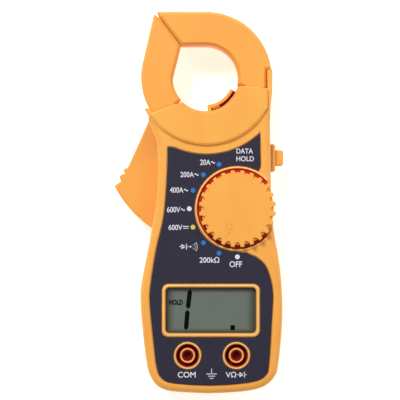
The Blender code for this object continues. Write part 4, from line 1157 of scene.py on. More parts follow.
@dataclass
class FrontCase(CaseHalf):
    """The front half: boss, knob recess, label recess, window rim, jack wells and the guard rib."""

    side: Side = Side.FRONT
    boss_rise: float = 2.0
    boss_rounding: float = 1.3
    boss_cove: float = 1.5
    recess_radius: float = 21.0
    recess_depth: float = 1.2
    lip_radius: float = 22.05
    rim_width: float = 1.9
    rim_rise: float = 0.5
    jack_rim: float = 7.1
    jack_well: float = 6.0
    jack_barrel: float = 3.9
    jack_bore: float = 3.0
    well_depth: float = 7.5
    barrel_drop: float = 0.8  # how far a jack's barrel stays below the face
    # Sizes of the pale beads, which are painted highlights along the rims.
    bead_rise: float = 0.16
    bead_edge: float = 0.13
    rim_bead: Point = (6.35, 6.85)  # inner and outer radius, as in the next two
    barrel_bead: Point = (3.3, 3.68)
    lip_bead: Point = (21.15, 21.8)
    # Sizes of the red sheet in the knob's recess, which is painted shade.
    liner_inner: float = 18.0
    liner_thickness: float = 0.2
    tab: tuple[Point, ...] = (
        (-35.3, 48.3), (-33.2, 45.1), (-33.0, 42.6), (-28.0, 42.6), (-31.0, 46.8), (-33.6, 49.1)
    )

    def boss_share(self, point: Point) -> float:
        """Full rounding round the arc and half of it along the straight top."""
        return 0.45 + 0.55 * min(1.0, max(0.0, (49.0 - point[1]) / 4.0))

    def add_boss(self, case: Solid) -> None:
        """Raises the boss and runs it out on to the face in a hollow fillet."""
        top = self.depth + self.boss_rise
        boss = Solid.loft(
            "boss",
            boss_outline(),
            CAVITY_TOP + 0.5,
            top,
            over=quarter(self.boss_rounding),
            share=self.boss_share,
        )
        lower = [polar(RING, 35.5, a) for a in range(-142, -33, 3)]
        upper = [polar(RING, 33.0, a) for a in range(-34, -143, -3)]
        fillet = Solid.loft(
            "boss_fillet",
            lower + upper,
            self.depth - 1.0,
            self.depth + self.boss_cove,
            over=cove(self.boss_cove),
            share=lambda p: 1.0 if math.dist(p, RING) > 34.0 else 0.0,
        )
        tab = Solid.loft("tab", self.tab, CAVITY_TOP - 1.3, self.depth - 0.6, over=quarter(0.5, 3))
        case.join(boss, fillet, tab).cut(self.window())

    def add_knob_recess(self, case: Solid) -> None:
        """Sinks the recess and rings it with a rounded lip."""
        top = self.depth + self.rim_rise
        lip = [
            (self.recess_radius, self.depth - 1.0),
            (self.lip_radius, self.depth - 1.0),
            (self.lip_radius, top - 0.35),
            (self.lip_radius - 0.15, top - 0.1),
            (self.lip_radius - 0.45, top),
            (self.recess_radius + 0.25, top - 0.05),
            (self.recess_radius, top - 0.4),
        ]
        case.join(Solid.turned("lip", KNOB, lip, 120).cut(self.lip_end()))
        case.cut(Solid.peg("recess", KNOB, self.recess_radius, self.depth - self.recess_depth, TALL))

    def add_window_rim(self, case: Solid) -> None:
        """Raises the rim and opens it with a rounded inner edge."""
        width, height = WINDOW_BOX.size.x + 2 * GAP, WINDOW_BOX.size.y + 2 * GAP
        rim = rectangle(WINDOW, width + 2 * self.rim_width, height + 2 * self.rim_width, 3.4)
        case.join(Solid.loft("rim", rim, self.depth - 1.5, self.depth + self.rim_rise, over=quarter(0.6)))
        flare = [(0.0, 1.6), (-0.15, 0.9), (-0.45, 0.5), (-0.8, 0.35)]
        opening = rectangle(WINDOW, width, height, 2.0)
        case.cut(Solid.loft("opening", opening, CAVITY_TOP - 1.0, self.depth + 0.9, over=flare))

    def add_jack(self, case: Solid, centre: Vector) -> None:
        """Raises a jack's rim, sinks the well round its barrel and rounds the barrel's mouth."""
        floor, top = self.depth - self.well_depth, self.depth + self.rim_rise
        rim = rectangle(centre, 2 * self.jack_rim, 2 * self.jack_rim, self.jack_rim - 0.01)
        case.join(Solid.loft("jack_rim", rim, floor - 1.0, top, over=quarter(0.4, 3)))
        well = [
            (self.jack_well + 0.3, TALL),
            (self.jack_well + 0.3, top - 0.1),
            (self.jack_well, top - 0.6),
            (self.jack_well, floor),
            (self.jack_barrel, floor),
            (self.jack_barrel, self.depth - 1.2),
            (self.jack_barrel - 0.35, self.depth - self.barrel_drop),
            (self.jack_barrel - 0.35, TALL),
        ]
        case.cut(Solid.turned("well", centre, well, 72))
        case.cut(Solid.peg("barrel_top", centre, self.jack_well - 1.0, self.depth - self.barrel_drop, TALL))
        bore = [
            (0, TALL),
            (self.jack_bore + 0.25, TALL),
            (self.jack_bore + 0.25, self.depth - 0.85),
            (self.jack_bore, self.depth - 1.1),
            (self.jack_bore, 10.0),
            (0, 10.0),
        ]
        case.cut(Solid.turned("bore", centre, bore, 48))

    def add_guard(self, case: Solid) -> None:
        """Sets the slim rib with its foot and three teeth inside the jaw window."""
        case.join(
            Solid.loft(
                "rib", sector(HOLE, 14.2, 15.9, -81.0, -24.0), PARTING - 1.0, JAW_FRONT, over=quarter(0.35, 3)
            ),
            Solid.loft("foot", sector(HOLE, 14.2, HOLE_RADIUS + 1.2, -86.0, -79.0), PARTING - 1.0, JAW_FRONT),
        )
        for angle in (-76.0, -71.5, -67.0):
            start, end = polar(HOLE, 15.2, angle), polar(HOLE, 16.6, angle + 1.5)
            case.join(Solid.loft("tooth", capsule(start, end, 0.45), PARTING - 1.0, JAW_FRONT - 0.6))

    def bead(self, name: str, centre: Sequence[float], radii: Point, high: float) -> Solid:
        """A slim pale ring along a round rim, a painted highlight where the rim catches the light.

        Args:
            name: The piece's name.
            centre: The middle of the rim.
            radii: The bead's inner and outer radius.
            high: The height of the rim that the bead stands on.

        Returns:
            The ring, not yet a piece.
        """
        inner, outer = radii
        low, top, edge = high - 0.2, high + self.bead_rise, self.bead_edge
        ring = [
            (inner, low), (outer, low), (outer, high), (outer - edge, top), (inner + edge, top), (inner, high)
        ]
        return Solid.turned(name, centre, ring, 96)

    def add_painted_highlights_and_shade(self) -> None:
        """Lays the pale beads on the rims as painted highlights, and dark red sheets of painted shade in the
        knob recess and behind the guard rib.
        """
        top = self.depth + self.rim_rise
        width, height = WINDOW_BOX.size.x + 2 * GAP, WINDOW_BOX.size.y + 2 * GAP
        # The pale beads on the window rim, the jack rims and barrels and the knob's lip are painted highlights.
        outer = rectangle(WINDOW, width + 1.45 * self.rim_width, height + 1.45 * self.rim_width, 3.0)
        inner = rectangle(WINDOW, width + 0.65 * self.rim_width, height + 0.65 * self.rim_width, 2.4)
        bead = Solid.loft("window_bead", outer, top - 0.3, top + 0.2, over=quarter(0.3, 3))
        bead.cut(Solid.loft("bead_inside", inner, 0.0, top + 0.3, over=[(0.0, 0.4), (-0.2, 0.0)]))
        bead.piece(Body.CASE, PAINTED_HIGHLIGHT_ORANGE)
        for name, centre in zip(("com", "volt"), JACKS, strict=True):
            self.bead(f"{name}_rim_bead", centre, self.rim_bead, top).piece(Body.CASE, PAINTED_HIGHLIGHT_ORANGE)
            barrel = self.bead(f"{name}_barrel_bead", centre, self.barrel_bead, self.depth - self.barrel_drop)
            barrel.piece(Body.CASE, PAINTED_HIGHLIGHT_ORANGE)
        self.bead("knob_lip_bead", KNOB, self.lip_bead, top).cut(self.lip_end()).piece(Body.CASE, PAINTED_HIGHLIGHT_ORANGE)
        # The red sheet in the knob's recess is painted shade on its floor and wall.
        floor, wall, thin = self.depth - self.recess_depth, self.recess_radius - 0.05, self.liner_thickness
        liner = [
            (self.liner_inner, floor + 0.05),
            (wall, floor + 0.05),
            (wall, top - 0.5),
            (wall - thin, top - 0.5),
            (wall - thin, floor + thin),
            (self.liner_inner, floor + thin),
        ]
        Solid.turned("knob_recess_liner", KNOB, liner, 120).cut(self.lip_end()).piece(Body.CASE, RECESS_SHADE_RED)
        # The dark red sheet behind the guard rib is painted shade in the gap.
        web = sector(HOLE, 15.95, HOLE_RADIUS - 0.05, -80.0, -24.5)
        Solid.loft("guard_web", web, PARTING + GAP, PARTING + 6.5).piece(Body.CASE, WELL_SHADE_RED)

    def build(self) -> None:
        """Makes the front half."""
        case = self.blank()
        self.add_boss(case)
        recess = grown(label_outline(), GAP)
        brink = [(0.0, 0.75), (-0.3, 0.3), (-0.3, 0.0)]
        case.cut(Solid.loft("label_recess", recess, LABEL_BOX.low.z - GAP, self.depth + 0.4, over=brink))
        self.add_knob_recess(case)
        self.add_window_rim(case)
        for x, y in POSTS:
            case.join(Solid.peg("post", (x, y), 4.2, PARTING - 1.0, CAVITY_TOP + 1.0))
        case.join(
            Solid.peg("pivot_boss", PIVOT, 4.0, JAW_FRONT + GAP, CAVITY_TOP + 1.0),
            Solid.peg("jaw_pad", (18.8, 52.8), 3.0, JAW_FRONT + GAP, CAVITY_TOP + 1.0),
        )
        for centre in JACKS:
            self.add_jack(case, centre)
        case.cut(
            Solid.peg("stem_hole", KNOB, 5.0, 25.0, TALL),
            Solid.peg("pin_hole", PIVOT, 2.3, PARTING, CAVITY_TOP + 1.5),
            self.bore(),
        )
        for x, y in POSTS:
            case.cut(Solid.peg("thread", (x, y), self.thread, PARTING - 2.0, CAVITY_TOP - 1.0))
        self.add_guard(case)
        self.keep(case).piece(Body.CASE, ORANGE, "front_case")
        self.add_painted_highlights_and_shade()


@dataclass
class RearCase(CaseHalf):
    """The back half: the battery bay, the screw bores and the moulded frame round the back's plain middle."""

    side: Side = Side.REAR
    bay_wall: float = 1.5
    bay_top: float = 14.2
    counterbore: float = 2.8
    grip_lines: int = 9

    def build(self) -> None:
        """Makes the back half."""
        case = self.blank()
        door = Span.of("battery_door")
        width, length = door.size.x + 2 * GAP, door.size.y + 2 * GAP
        outer = rectangle(door.middle, width + 2 * self.bay_wall, length + 2 * self.bay_wall, 0.8)
        case.join(Solid.loft("bay", outer, 1.0, self.bay_top + self.bay_wall))
        inner = rectangle(door.middle, width, length, 0.6)
        case.cut(Solid.loft("bay_inside", inner, -TALL, self.bay_top))
        ledge = door.high.z + GAP
        case.join(Solid.peg("door_post", DOOR_SCREW, 3.0, ledge, self.bay_top + 0.5))
        case.cut(Solid.peg("door_thread", DOOR_SCREW, self.thread, 0.0, self.bay_top - 2.0))
        for x, y in POSTS:
            case.join(Solid.peg("post", (x, y), 4.2, 1.0, PARTING + 1.0))
        case.join(
            Solid.peg("pivot_boss", PIVOT, 3.4, 1.0, JAW_BACK - GAP),
            Solid.peg("jaw_pad", (18.8, 52.8), 3.0, 1.0, JAW_BACK - GAP),
        )
        case.cut(Solid.peg("pin_hole", PIVOT, 2.3, 1.2, PARTING), self.bore())
        for x, y in POSTS:
            case.cut(
                Solid.peg("shank", (x, y), self.thread, 1.0, TALL),
                Solid.loft(
                    "head",
                    arc((x, y), self.counterbore, 0.0, 354.0, 6.0),
                    -0.5,
                    4.0,
                    under=[(0.0, 1.0), (-0.5, 0.5)],
                ),
            )
        self.engrave(case)
        self.keep(case).piece(Body.CASE, ORANGE, "rear_case")

    def engrave(self, case: Solid) -> None:
        """Cuts the shallow frame into the back and the two rows of grip lines beside it."""
        frame_outer = rectangle((0.0, -3.0), 44.0, 58.0, 3.0)
        frame_inner = rectangle((0.0, -3.0), 42.6, 56.6, 2.4)
        ring = Solid.loft("frame", frame_outer, -1.0, 0.35).cut(
            Solid.loft("frame_in", frame_inner, -2.0, 2.0)
        )
        case.cut(ring)
        for i in range(self.grip_lines):
            y = -24.0 - 5.0 * i
            for way in (-1, 1):
                start, end = (way * 21.5, y), (way * 28.5, y - 1.6)
                case.cut(Solid.loft("grip", capsule(start, end, 0.55), -1.0, 0.4))


@dataclass
class BatteryDoor:
    """The flush door in the back, with a bar pattern for the thumb and a sunk screw hole."""

    ribs: int = 7
    rib_length: float = 14.0
    rib_pitch: float = 2.4

    def build(self, copies: CopyTree) -> None:
        """Makes the door and its raised bars, which stand in a shallow dish.

        Args:
            copies: The tree that repeats the bars.
        """
        box = Span.of("battery_door")
        outline = rectangle(box.middle, box.size.x, box.size.y, 0.9)
        door = Solid.loft("battery_door_visible", outline, box.low.z, box.high.z, under=quarter(0.35, 3))
        dish_y = box.low.y + 15.0
        width, height = self.rib_length + 4.0, self.ribs * self.rib_pitch + 3.0
        dish = rectangle((0.0, dish_y), width, height, 3.0)
        door.cut(Solid.loft("dish", dish, -1.0, 0.6))
        door.cut(Solid.peg("hole", DOOR_SCREW, 1.6, -1.0, TALL))
        door.cut(Solid.loft("sunk", arc(DOOR_SCREW, 2.8, 0.0, 354.0, 6.0), -1.0, 1.2))
        door.piece(Body.CASE, ORANGE, "battery_door")
        bar = Solid.loft(
            "bar",
            capsule((-self.rib_length / 2, 0), (self.rib_length / 2, 0), 0.6),
            0.1,
            0.7,
            under=quarter(0.3, 3),
        )
        first = (0.0, dish_y - (self.ribs - 1) * self.rib_pitch / 2, 0.0)
        stride = (0.0, self.rib_pitch, 0.0)
        bars = copies.spread("battery_door_bars", bar, ORANGE, self.ribs, first, stride=stride)
        add_piece("battery_door_bars", bars, Body.CASE, ORANGE)


@dataclass
class Jaws:
    """The two jaws, each a pair of chamfered half shells; the moving one carries the trigger."""

    chamfer: float = 1.3
    wall: float = 1.6
    trigger_soft: float = 1.0

    def moving_outline(self) -> list[Point]:
        """The moving jaw's ring, with the knuckle round its pivot."""
        return [
            split_point(21.4, 1),
            split_point(39.4, 1),
            (-30.3, 98.3),
            *arc(RING, RING_RADIUS, 169.0, 262.0),
            *arc(PIVOT, 6.0, 235.0, 425.0, 8.0),
            *arc(HOLE, INNER_HOLE, 283.0, 222.0),
            *arc(HOLE, HOLE_RADIUS, 221.0, 180.0),
        ]

    def fixed_outline(self) -> list[Point]:
        """The fixed jaw's ring, down to where it stands inside the case."""
        edge = STRIP_INNER_X - GAP
        return [
            split_point(21.4, -1),
            split_point(39.4, -1),
            (-28.8, RING.y + RING_RADIUS),
            *arc(RING, RING_RADIUS, 90.0, 7.0),
            (edge, 69.4),
            (edge, 60.0),
            *arc(RING, RING_RADIUS - 3.6, -14.0, -66.0),
            *arc(HOLE, INNER_HOLE, -64.0, -13.0),
            *arc(HOLE, HOLE_RADIUS, -12.0, 90.0),
        ]

    def trigger_outline(self) -> list[Point]:
        """The fin: a straight back, three teeth for the thumb and an arc about the pivot."""
        sharp = [
            (-32.8, 44.1), (-37.1, 34.0), (-44.3, 18.2), (-46.8, 17.2), (-45.8, 15.2), (-48.9, 13.8),
            (-47.9, 11.0), *arc(PIVOT, 59.4, 207.1, 238.0), (-27.5, -6.0), (-22.0, 22.0), (-17.0, 38.5),
            (-24.0, 46.5),
        ]  # fmt: skip
        return eased(sharp, {2: 0.6, 3: 0.7, 4: 0.5, 5: 0.8, 6: 0.5, 7: 0.7, 17: 1.5}, 4)

    def rooms(self, moving: bool) -> list[Solid]:
        """The hollows for the core and the coil."""
        wide, outer = HOLE_RADIUS + self.wall + 1.0, RING_RADIUS - 2.0
        narrow = INNER_HOLE + self.wall
        if moving:
            shapes = [(wide, outer, 142.0, 214.0), (narrow, outer, 210.0, 256.0)]
        else:
            shapes = [(wide, outer, 18.0, 108.0), (wide, 29.3, -8.0, 20.0), (narrow, 28.9, -59.0, -6.0)]
        low, high = JAW_BACK + self.wall, JAW_FRONT - self.wall
        made = [Solid.loft("room", sector(HOLE, *shape), low, high) for shape in shapes]
        core = Span.of("moving_core")
        window = (120.0, 146.0) if moving else (104.0, 134.0)
        opening = sector(HOLE, 22.0, 28.6, *window)
        return [*made, Solid.loft("core_window", opening, core.low.z - GAP, core.high.z + GAP)]

    def half(self, side: Side, moving: bool) -> None:
        """Makes one half shell of one jaw.

        Args:
            side: Front or rear.
            moving: True for the jaw that swings.
        """
        node = f"{'moving' if moving else 'fixed'}_jaw_{side.value}"
        outline = self.moving_outline() if moving else self.fixed_outline()
        rim = bevelled(self.chamfer, 0.25)
        jaw = Solid.loft(node + "_visible", outline, JAW_BACK, JAW_FRONT, over=rim, under=rim)
        if moving:
            soft = quarter(self.trigger_soft, 4)
            jaw.join(
                Solid.loft("trigger", self.trigger_outline(), JAW_BACK, TRIGGER_TOP, over=soft, under=soft)
            )
        jaw.cut(*self.rooms(moving))
        if moving:
            pocket = [
                (-36.5, 31.0),
                (-43.5, 15.5),
                (-45.5, 8.0),
                (-43.0, 2.0),
                (-33.0, -8.0),
                (-29.8, -8.0),
                (-27.0, 22.0),
            ]
            jaw.cut(Solid.loft("pocket", pocket, JAW_BACK + self.wall, PARTING + 0.5))
            jaw.cut(Solid.peg("pin_hole", PIVOT, 2.3, 0.0, TALL))
        low, high = (-TALL, PARTING + GAP / 2) if side is Side.FRONT else (PARTING - GAP / 2, TALL)
        jaw.cut(Solid.block("other_half", (-2 * TALL, -2 * TALL, low), (2 * TALL, 2 * TALL, high)))
        jaw.piece(Body.MOVING_JAW if moving else Body.CASE, JAW_ORANGE, node)

    def build(self) -> None:
        """Makes all four half shells."""
        for side in Side:
            for moving in (True, False):
                self.half(side, moving)


@dataclass
class SelectorKnob:
    """The range knob: a flat top with round notches, on a plain disc, with a small sunk pointer."""

    notches: int = 24
    tooth_reach: float = 0.35  # how far the teeth stand out past the plain disc that they grow from
    notch_depth: float = 2.6
    notch_half: float = 1.6  # half of a notch's width
    rounding: float = 0.35
    skirt_inset: float = 0.75
    stem_radius: float = 4.5
    pointer_ring: Point = (-4.15, -9.5)
    pointer_start: Point = (-4.15, -12.5)
    pointer_end: Point = (-5.7, -15.0)

    def outline(self) -> list[Point]:
        """A circle with evenly spaced round notches, one of them at the top."""
        outer = KNOB_BOX.size.y / 2 + self.tooth_reach
        pitch = 360.0 / self.notches
        reach = math.degrees(self.notch_half / outer)
        points: list[Point] = []
        for i in range(self.notches):
            middle = 90.0 + i * pitch
            points += arc(KNOB, outer, middle - pitch + reach + 0.4, middle - reach - 0.4, 2.2)
            for k in range(-6, 7):
                along = math.sin(math.radians(90.0 * k / 6.5))
                depth = self.notch_depth * math.sqrt(1 - along**2)
                points.append(polar(KNOB, outer - depth, middle + reach * along))
        return points

    def build(self) -> None:
        """Makes the knob with its skirt, its stem and its pointer."""
        low, high = KNOB_BOX.high.z - 5.9, KNOB_BOX.high.z
        knob = Solid.loft("knob", self.outline(), low + 1.5, high, over=quarter(self.rounding, 4))
        radius = KNOB_BOX.size.y / 2 - self.skirt_inset
        skirt = [(0, low + 4.5), (radius - 0.3, low + 4.5), (radius, low + 4.2), (radius, low), (0, low)]
        stem_low = KNOB_BOX.low.z
        stem = [
            (0, low + 1.0),
            (self.stem_radius, low + 1.0),
            (self.stem_radius, stem_low + 2.9),
            (2.2, stem_low + 2.4),
            (2.2, stem_low + 0.3),
            (1.9, stem_low),
            (0, stem_low),
        ]
        knob.join(Solid.turned("skirt", KNOB, skirt, 120), Solid.turned("stem", KNOB, stem, 48))
        ring = KNOB + Vector(self.pointer_ring)
        groove = [(1.3, high + 1.0), (1.9, high + 1.0), (1.75, high - 0.25), (1.45, high - 0.25)]
        start, end = KNOB + Vector(self.pointer_start), KNOB + Vector(self.pointer_end)
        knob.cut(
            Solid.turned("pointer_ring", ring, groove, 40),
            Solid.loft("pointer", capsule(start, end, 0.4), high - 0.3, high + 1.0),
        )
        knob.piece(Body.KNOB, KNOB_ORANGE, "selector_knob")


@dataclass
class HoldButton:
    """The sliding button in the collar: a rounded square with a worn-looking soft tip and an inner flange."""

    case: CaseHalf
    tip_rounding: float = 1.5

    def build(self) -> None:
        """Makes the button."""
        box = Span.of("hold_button")
        side = self.case.button_side
        stem = rectangle((0.0, 0.0), side, side, 1.1)
        button = Solid.loft("button", stem, box.low.x + 1.0, box.high.x, over=quarter(self.tip_rounding, 6))
        flange = rectangle((0.0, 0.0), box.size.y, box.size.z, 0.8)
        button.join(Solid.loft("flange", flange, box.low.x, box.low.x + 1.8))
        button.turn(self.case.outward())
        button.piece(Body.BUTTON, ORANGE, "hold_button")


@dataclass
class Lettering:
    """Flat raised print, made from text and from simple strokes and joined into one mesh."""

    height: float  # where the print's underside lies
    thickness: float = 0.06
    weight: float = 0.012  # how much bolder than the plain letters, as a part of their height
    meshes: list[bpy.types.Mesh] = field(default_factory=list)

    def words(self, text: str, left: float, right: float, bottom: float, top: float) -> None:
        """Sets a line of text in a box.

        Args:
            text: What is printed.
            left: The box's left side.
            right: Its right side.
            bottom: Its lower side.
            top: Its upper side.
        """
        curve = bpy.data.curves.new("print", "FONT")
        curve.body = text
        curve.extrude = self.thickness / 2 * MM
        curve.offset = self.weight
        curve.resolution_u = 4
        obj = bpy.data.objects.new("print", curve)
        bpy.context.scene.collection.objects.link(obj)
        bpy.context.view_layer.update()
        mesh = bpy.data.meshes.new_from_object(obj.evaluated_get(bpy.context.evaluated_depsgraph_get()))
        bpy.data.objects.remove(obj)
        xs, ys = [v.co.x for v in mesh.vertices], [v.co.y for v in mesh.vertices]
        scale_x, scale_y = (right - left) / (max(xs) - min(xs)) * MM, (top - bottom) / (
            max(ys) - min(ys)
        ) * MM
        move = Matrix.Translation(
            (left * MM - min(xs) * scale_x, bottom * MM - min(ys) * scale_y, self.middle())
        )
        mesh.transform(move @ Matrix.Diagonal((scale_x, scale_y, 1.0, 1.0)))
        self.meshes.append(mesh)

    def middle(self) -> float:
        """The height of the middle of the print, in metres."""
        return (self.height + self.thickness / 2) * MM

    def shape(self, outline: Sequence[Point]) -> None:
        """Prints a filled outline."""
        self.meshes.append(Solid.loft("stroke", outline, self.height, self.height + self.thickness).settle())

    def stroke(self, start: Point, end: Point, width: float = 0.45) -> None:
        """Prints a straight stroke with round ends."""
        self.shape(capsule(start, end, width / 2))

    def bow(self, points: Sequence[Point], width: float = 0.45) -> None:
        """Prints a run of strokes through the points."""
        for start, end in zip(points, points[1:], strict=False):
            self.stroke(start, end, width)

    def wave(self, left: float, right: float, y: float, height: float = 0.4, width: float = 0.62) -> None:
        """Prints the sign for alternating current as one even ribbon."""
        count = 14
        upper: list[Point] = []
        lower: list[Point] = []
        for i in range(count + 1):
            x = left + (right - left) * i / count
            middle = y + height * math.sin(2 * math.pi * i / count)
            upper.append((x, middle + width / 2))
            lower.append((x, middle - width / 2))
        self.shape(lower + upper[::-1])

    def diode(self, left: float, right: float, y: float, half: float) -> None:
        """Prints the sign for a diode: a filled arrow, a bar and a line through both."""
        mid = (left + right) / 2
        self.shape([(mid - half, y + half), (mid - half, y - half), (mid + half, y)])
        self.stroke((mid + half, y - half), (mid + half, y + half))
        self.stroke((left, y), (right, y), 0.35)

    def earth(self, centre: Point, width: float) -> None:
        """Prints the sign for earth."""
        x, y = centre
        self.stroke((x, y + 2.6), (x, y), 0.36)
        for i in range(3):
            half = width / 2 * (1 - 0.34 * i)
            self.stroke((x - half, y - 1.15 * i), (x + half, y - 1.15 * i), 0.36)

    def piece(self, name: str, finish: Finish) -> bpy.types.Object:
        """Joins everything that was printed.

        Args:
            name: The piece's name.
            finish: Its ink.

        Returns:
            The piece.
        """
        shape = bmesh.new()
        for mesh in self.meshes:
            shape.from_mesh(mesh)
        mesh = bpy.data.meshes.new(name)
        shape.to_mesh(mesh)
        shape.free()
        return add_piece(name, mesh, Body.CASE, finish, flat=True)


@dataclass
class FrontLabel:
    """The dark sheet round the knob with its printed ranges, dots and signs."""

    dot_ring: float = 25.0
    dot_radius: float = 1.25
    dot_pitch: float = 22.5
    cut_gap: float = 0.3

    def build(self, copies: CopyTree) -> None:
        """Makes the sheet and all its print.

        Args:
            copies: The tree that repeats the range dots.
        """
        low, high = LABEL_BOX.low.z, LABEL_BOX.high.z
        sheet = Solid.loft("front_label_visible", label_outline(), low, high, over=quarter(0.12, 2))
        grow = 2 * (FrontCase.rim_width + GAP + self.cut_gap)
        opening = rectangle(WINDOW, WINDOW_BOX.size.x + grow, WINDOW_BOX.size.y + grow, 3.7)
        sheet.cut(Solid.loft("window", opening, 0.0, TALL))
        for centre in JACKS:
            sheet.cut(Solid.peg("jack", centre, FrontCase.jack_rim + self.cut_gap, 0.0, TALL))
        sheet.piece(Body.CASE, LABEL, "front_label")
        self.print_dots(copies, high)
        self.print_words(high)

    def print_dots(self, copies: CopyTree, height: float) -> None:
        """Prints the range dots round the knob, in runs of one colour."""
        runs = (
            ("blue_upper", BLUE_INK, 3, 112.5),
            ("white_volts", WHITE_INK, 1, 180.0),
            ("yellow_volts", YELLOW_INK, 1, 202.5),
            ("blue_lower", BLUE_INK, 2, 225.0),
            ("white_off", WHITE_INK, 1, 270.0),
        )
        for name, ink, count, start in runs:
            dot = Solid.peg("dot", (0.0, 0.0), self.dot_radius, height, height + 0.06)
            mesh = copies.spread(
                f"dots_{name}",
                dot,
                ink,
                count,
                (*KNOB, 0.0),
                radius=self.dot_ring,
                start=start,
                pitch=self.dot_pitch,
            )
            add_piece(f"dots_{name}", mesh, Body.CASE, ink)

    def print_words(self, height: float) -> None:
        """Prints the ranges, the button's words, the jacks' names and the signs."""
        ink = Lettering(height)
        ink.words("20A", -6.2, -0.8, 19.2, 22.1)
        ink.words("200A", -16.4, -9.4, 12.9, 15.7)
        ink.words("400A", -21.9, -14.9, 4.8, 7.7)
        for left, y in ((-0.5, 20.6), (-9.1, 14.3), (-14.6, 6.2)):
            ink.wave(left, left + 2.1, y)
        ink.words("600V", -23.4, -16.5, -5.4, -2.5)
        ink.wave(-16.2, -14.1, -4.0)
        ink.words("600V", -22.6, -15.4, -14.6, -11.8)
        self.print_steady(ink, -14.9, -12.2, -13.2)
        ink.diode(-16.8, -12.4, -23.2, 1.3)
        ink.shape(arc((-11.2, -23.2), 0.5, 0.0, 340.0, 20.0))
        for radius in (1.3, 2.3, 3.3):
            ink.bow(arc((-10.9, -23.2), radius, -38.0, 38.0, 12.0), 0.4)
        ink.words("200kΩ", -6.5, 3.8, -31.6, -28.6)
        ink.words("OFF", 9.1, 15.7, -33.9, -30.8)
        ink.words("DATA", 12.7, 21.3, 25.2, 27.8)
        ink.words("HOLD", 12.7, 21.8, 21.2, 23.8)
        ink.words("COM", -17.8, -8.5, -91.3, -88.3)
        ink.words("VΩ", 7.1, 12.6, -91.2, -88.3)
        ink.diode(13.2, 17.9, -89.8, 1.3)
        ink.earth((-0.2, -89.4), 5.2)
        ink.piece("label_print", WHITE_INK)

    def print_steady(self, ink: Lettering, left: float, right: float, y: float) -> None:
        """Prints the sign for direct current: a bar over three dashes."""
        ink.stroke((left, y + 0.5), (right, y + 0.5), 0.45)
        step = (right - left) / 3
        for i in range(3):
            ink.stroke((left + step * i + 0.1, y - 0.5), (left + step * (i + 1) - 0.3, y - 0.5), 0.4)


@dataclass
class DisplayFace:
    """The display: the segments lit at rest on its glass and the clear window over them."""

    segment: float = 2.3  # width of a digit's segment
    weight: float = 0.035
    lift: float = 0.05
    thickness: float = 0.08

    def bar(self, start: Point, end: Point) -> list[Point]:
        """The outline of a segment with pointed ends."""
        a, b = Vector(start), Vector(end)
        along = (b - a).normalized() * self.segment / 2
        across = Vector((-along.y, along.x))
        shape = [a, a + along + across, b - along + across, b, b - along - across, a + along - across]
        return [tuple(p) for p in shape]

    def build(self) -> None:
        """Makes the segments and the window."""
        ink = Lettering(GLASS_BOX.high.z + self.lift, self.thickness, weight=self.weight)
        ink.shape(self.bar((-11.4, -45.6), (-12.6, -55.8)))
        ink.shape(self.bar((-12.7, -56.3), (-13.6, -66.8)))
        ink.shape(rectangle((10.8, -65.5), 2.4, 2.6, 0.4))
        ink.words("HOLD", -22.4, -15.2, -53.7, -50.9)
        ink.piece("display_segments", LCD_INK)
        pane = rectangle(WINDOW, WINDOW_BOX.size.x, WINDOW_BOX.size.y, 1.7)
        window = Solid.loft("window_pane", pane, WINDOW_BOX.low.z, WINDOW_BOX.high.z, over=quarter(0.3, 3))
        window.piece(Body.CASE, CLEAR, "lcd_window")


@dataclass
class JackPaintedShade:
    """Dark red cups and sleeves in the two test sockets: painted shade where the orange wells and bores lie in
    shade.
    """

    wall: float = 0.35

    def build(self, case: FrontCase) -> None:
        """Makes a cup in each well and a sleeve in each bore, both painted shade.

        Args:
            case: The case whose wells they stand in.
        """
        floor, top = case.depth - case.well_depth, case.depth - 1.1
        outer, inner = case.jack_well - 0.05, case.jack_barrel + 0.05
        cup = [
            (outer, top),
            (outer, floor + 0.05),
            (inner, floor + 0.05),
            (inner, top - 1.6),
            (inner + self.wall, top - 1.6),
            (inner + self.wall, floor + self.wall),
            (outer - self.wall, floor + self.wall),
            (outer - self.wall, top),
        ]
        # Each bore is filled down to the jack with a sleeve of painted shade.
        bore = case.jack_bore - 0.05
        jack_top = Span.of("com_jack").high.z
        deep = jack_top - 3.0
        sleeve = [
            (0.0, deep + 0.4),
            (1.6, deep + 0.4),
            (1.6, case.depth - 2.6),
            (2.5, case.depth - 1.3),
            (bore, case.depth - 1.3),
            (bore, jack_top + 0.1),
            (1.95, jack_top + 0.1),
            (1.95, deep),
            (0.0, deep),
        ]
        for name, centre in zip(("com", "volt"), JACKS, strict=True):
            Solid.turned(f"{name}_well_liner", centre, cup, 64).piece(Body.CASE, WELL_SHADE_RED)
            Solid.turned(f"{name}_bore_sleeve", centre, sleeve, 48).piece(Body.CASE, BORE_SHADE_RED)


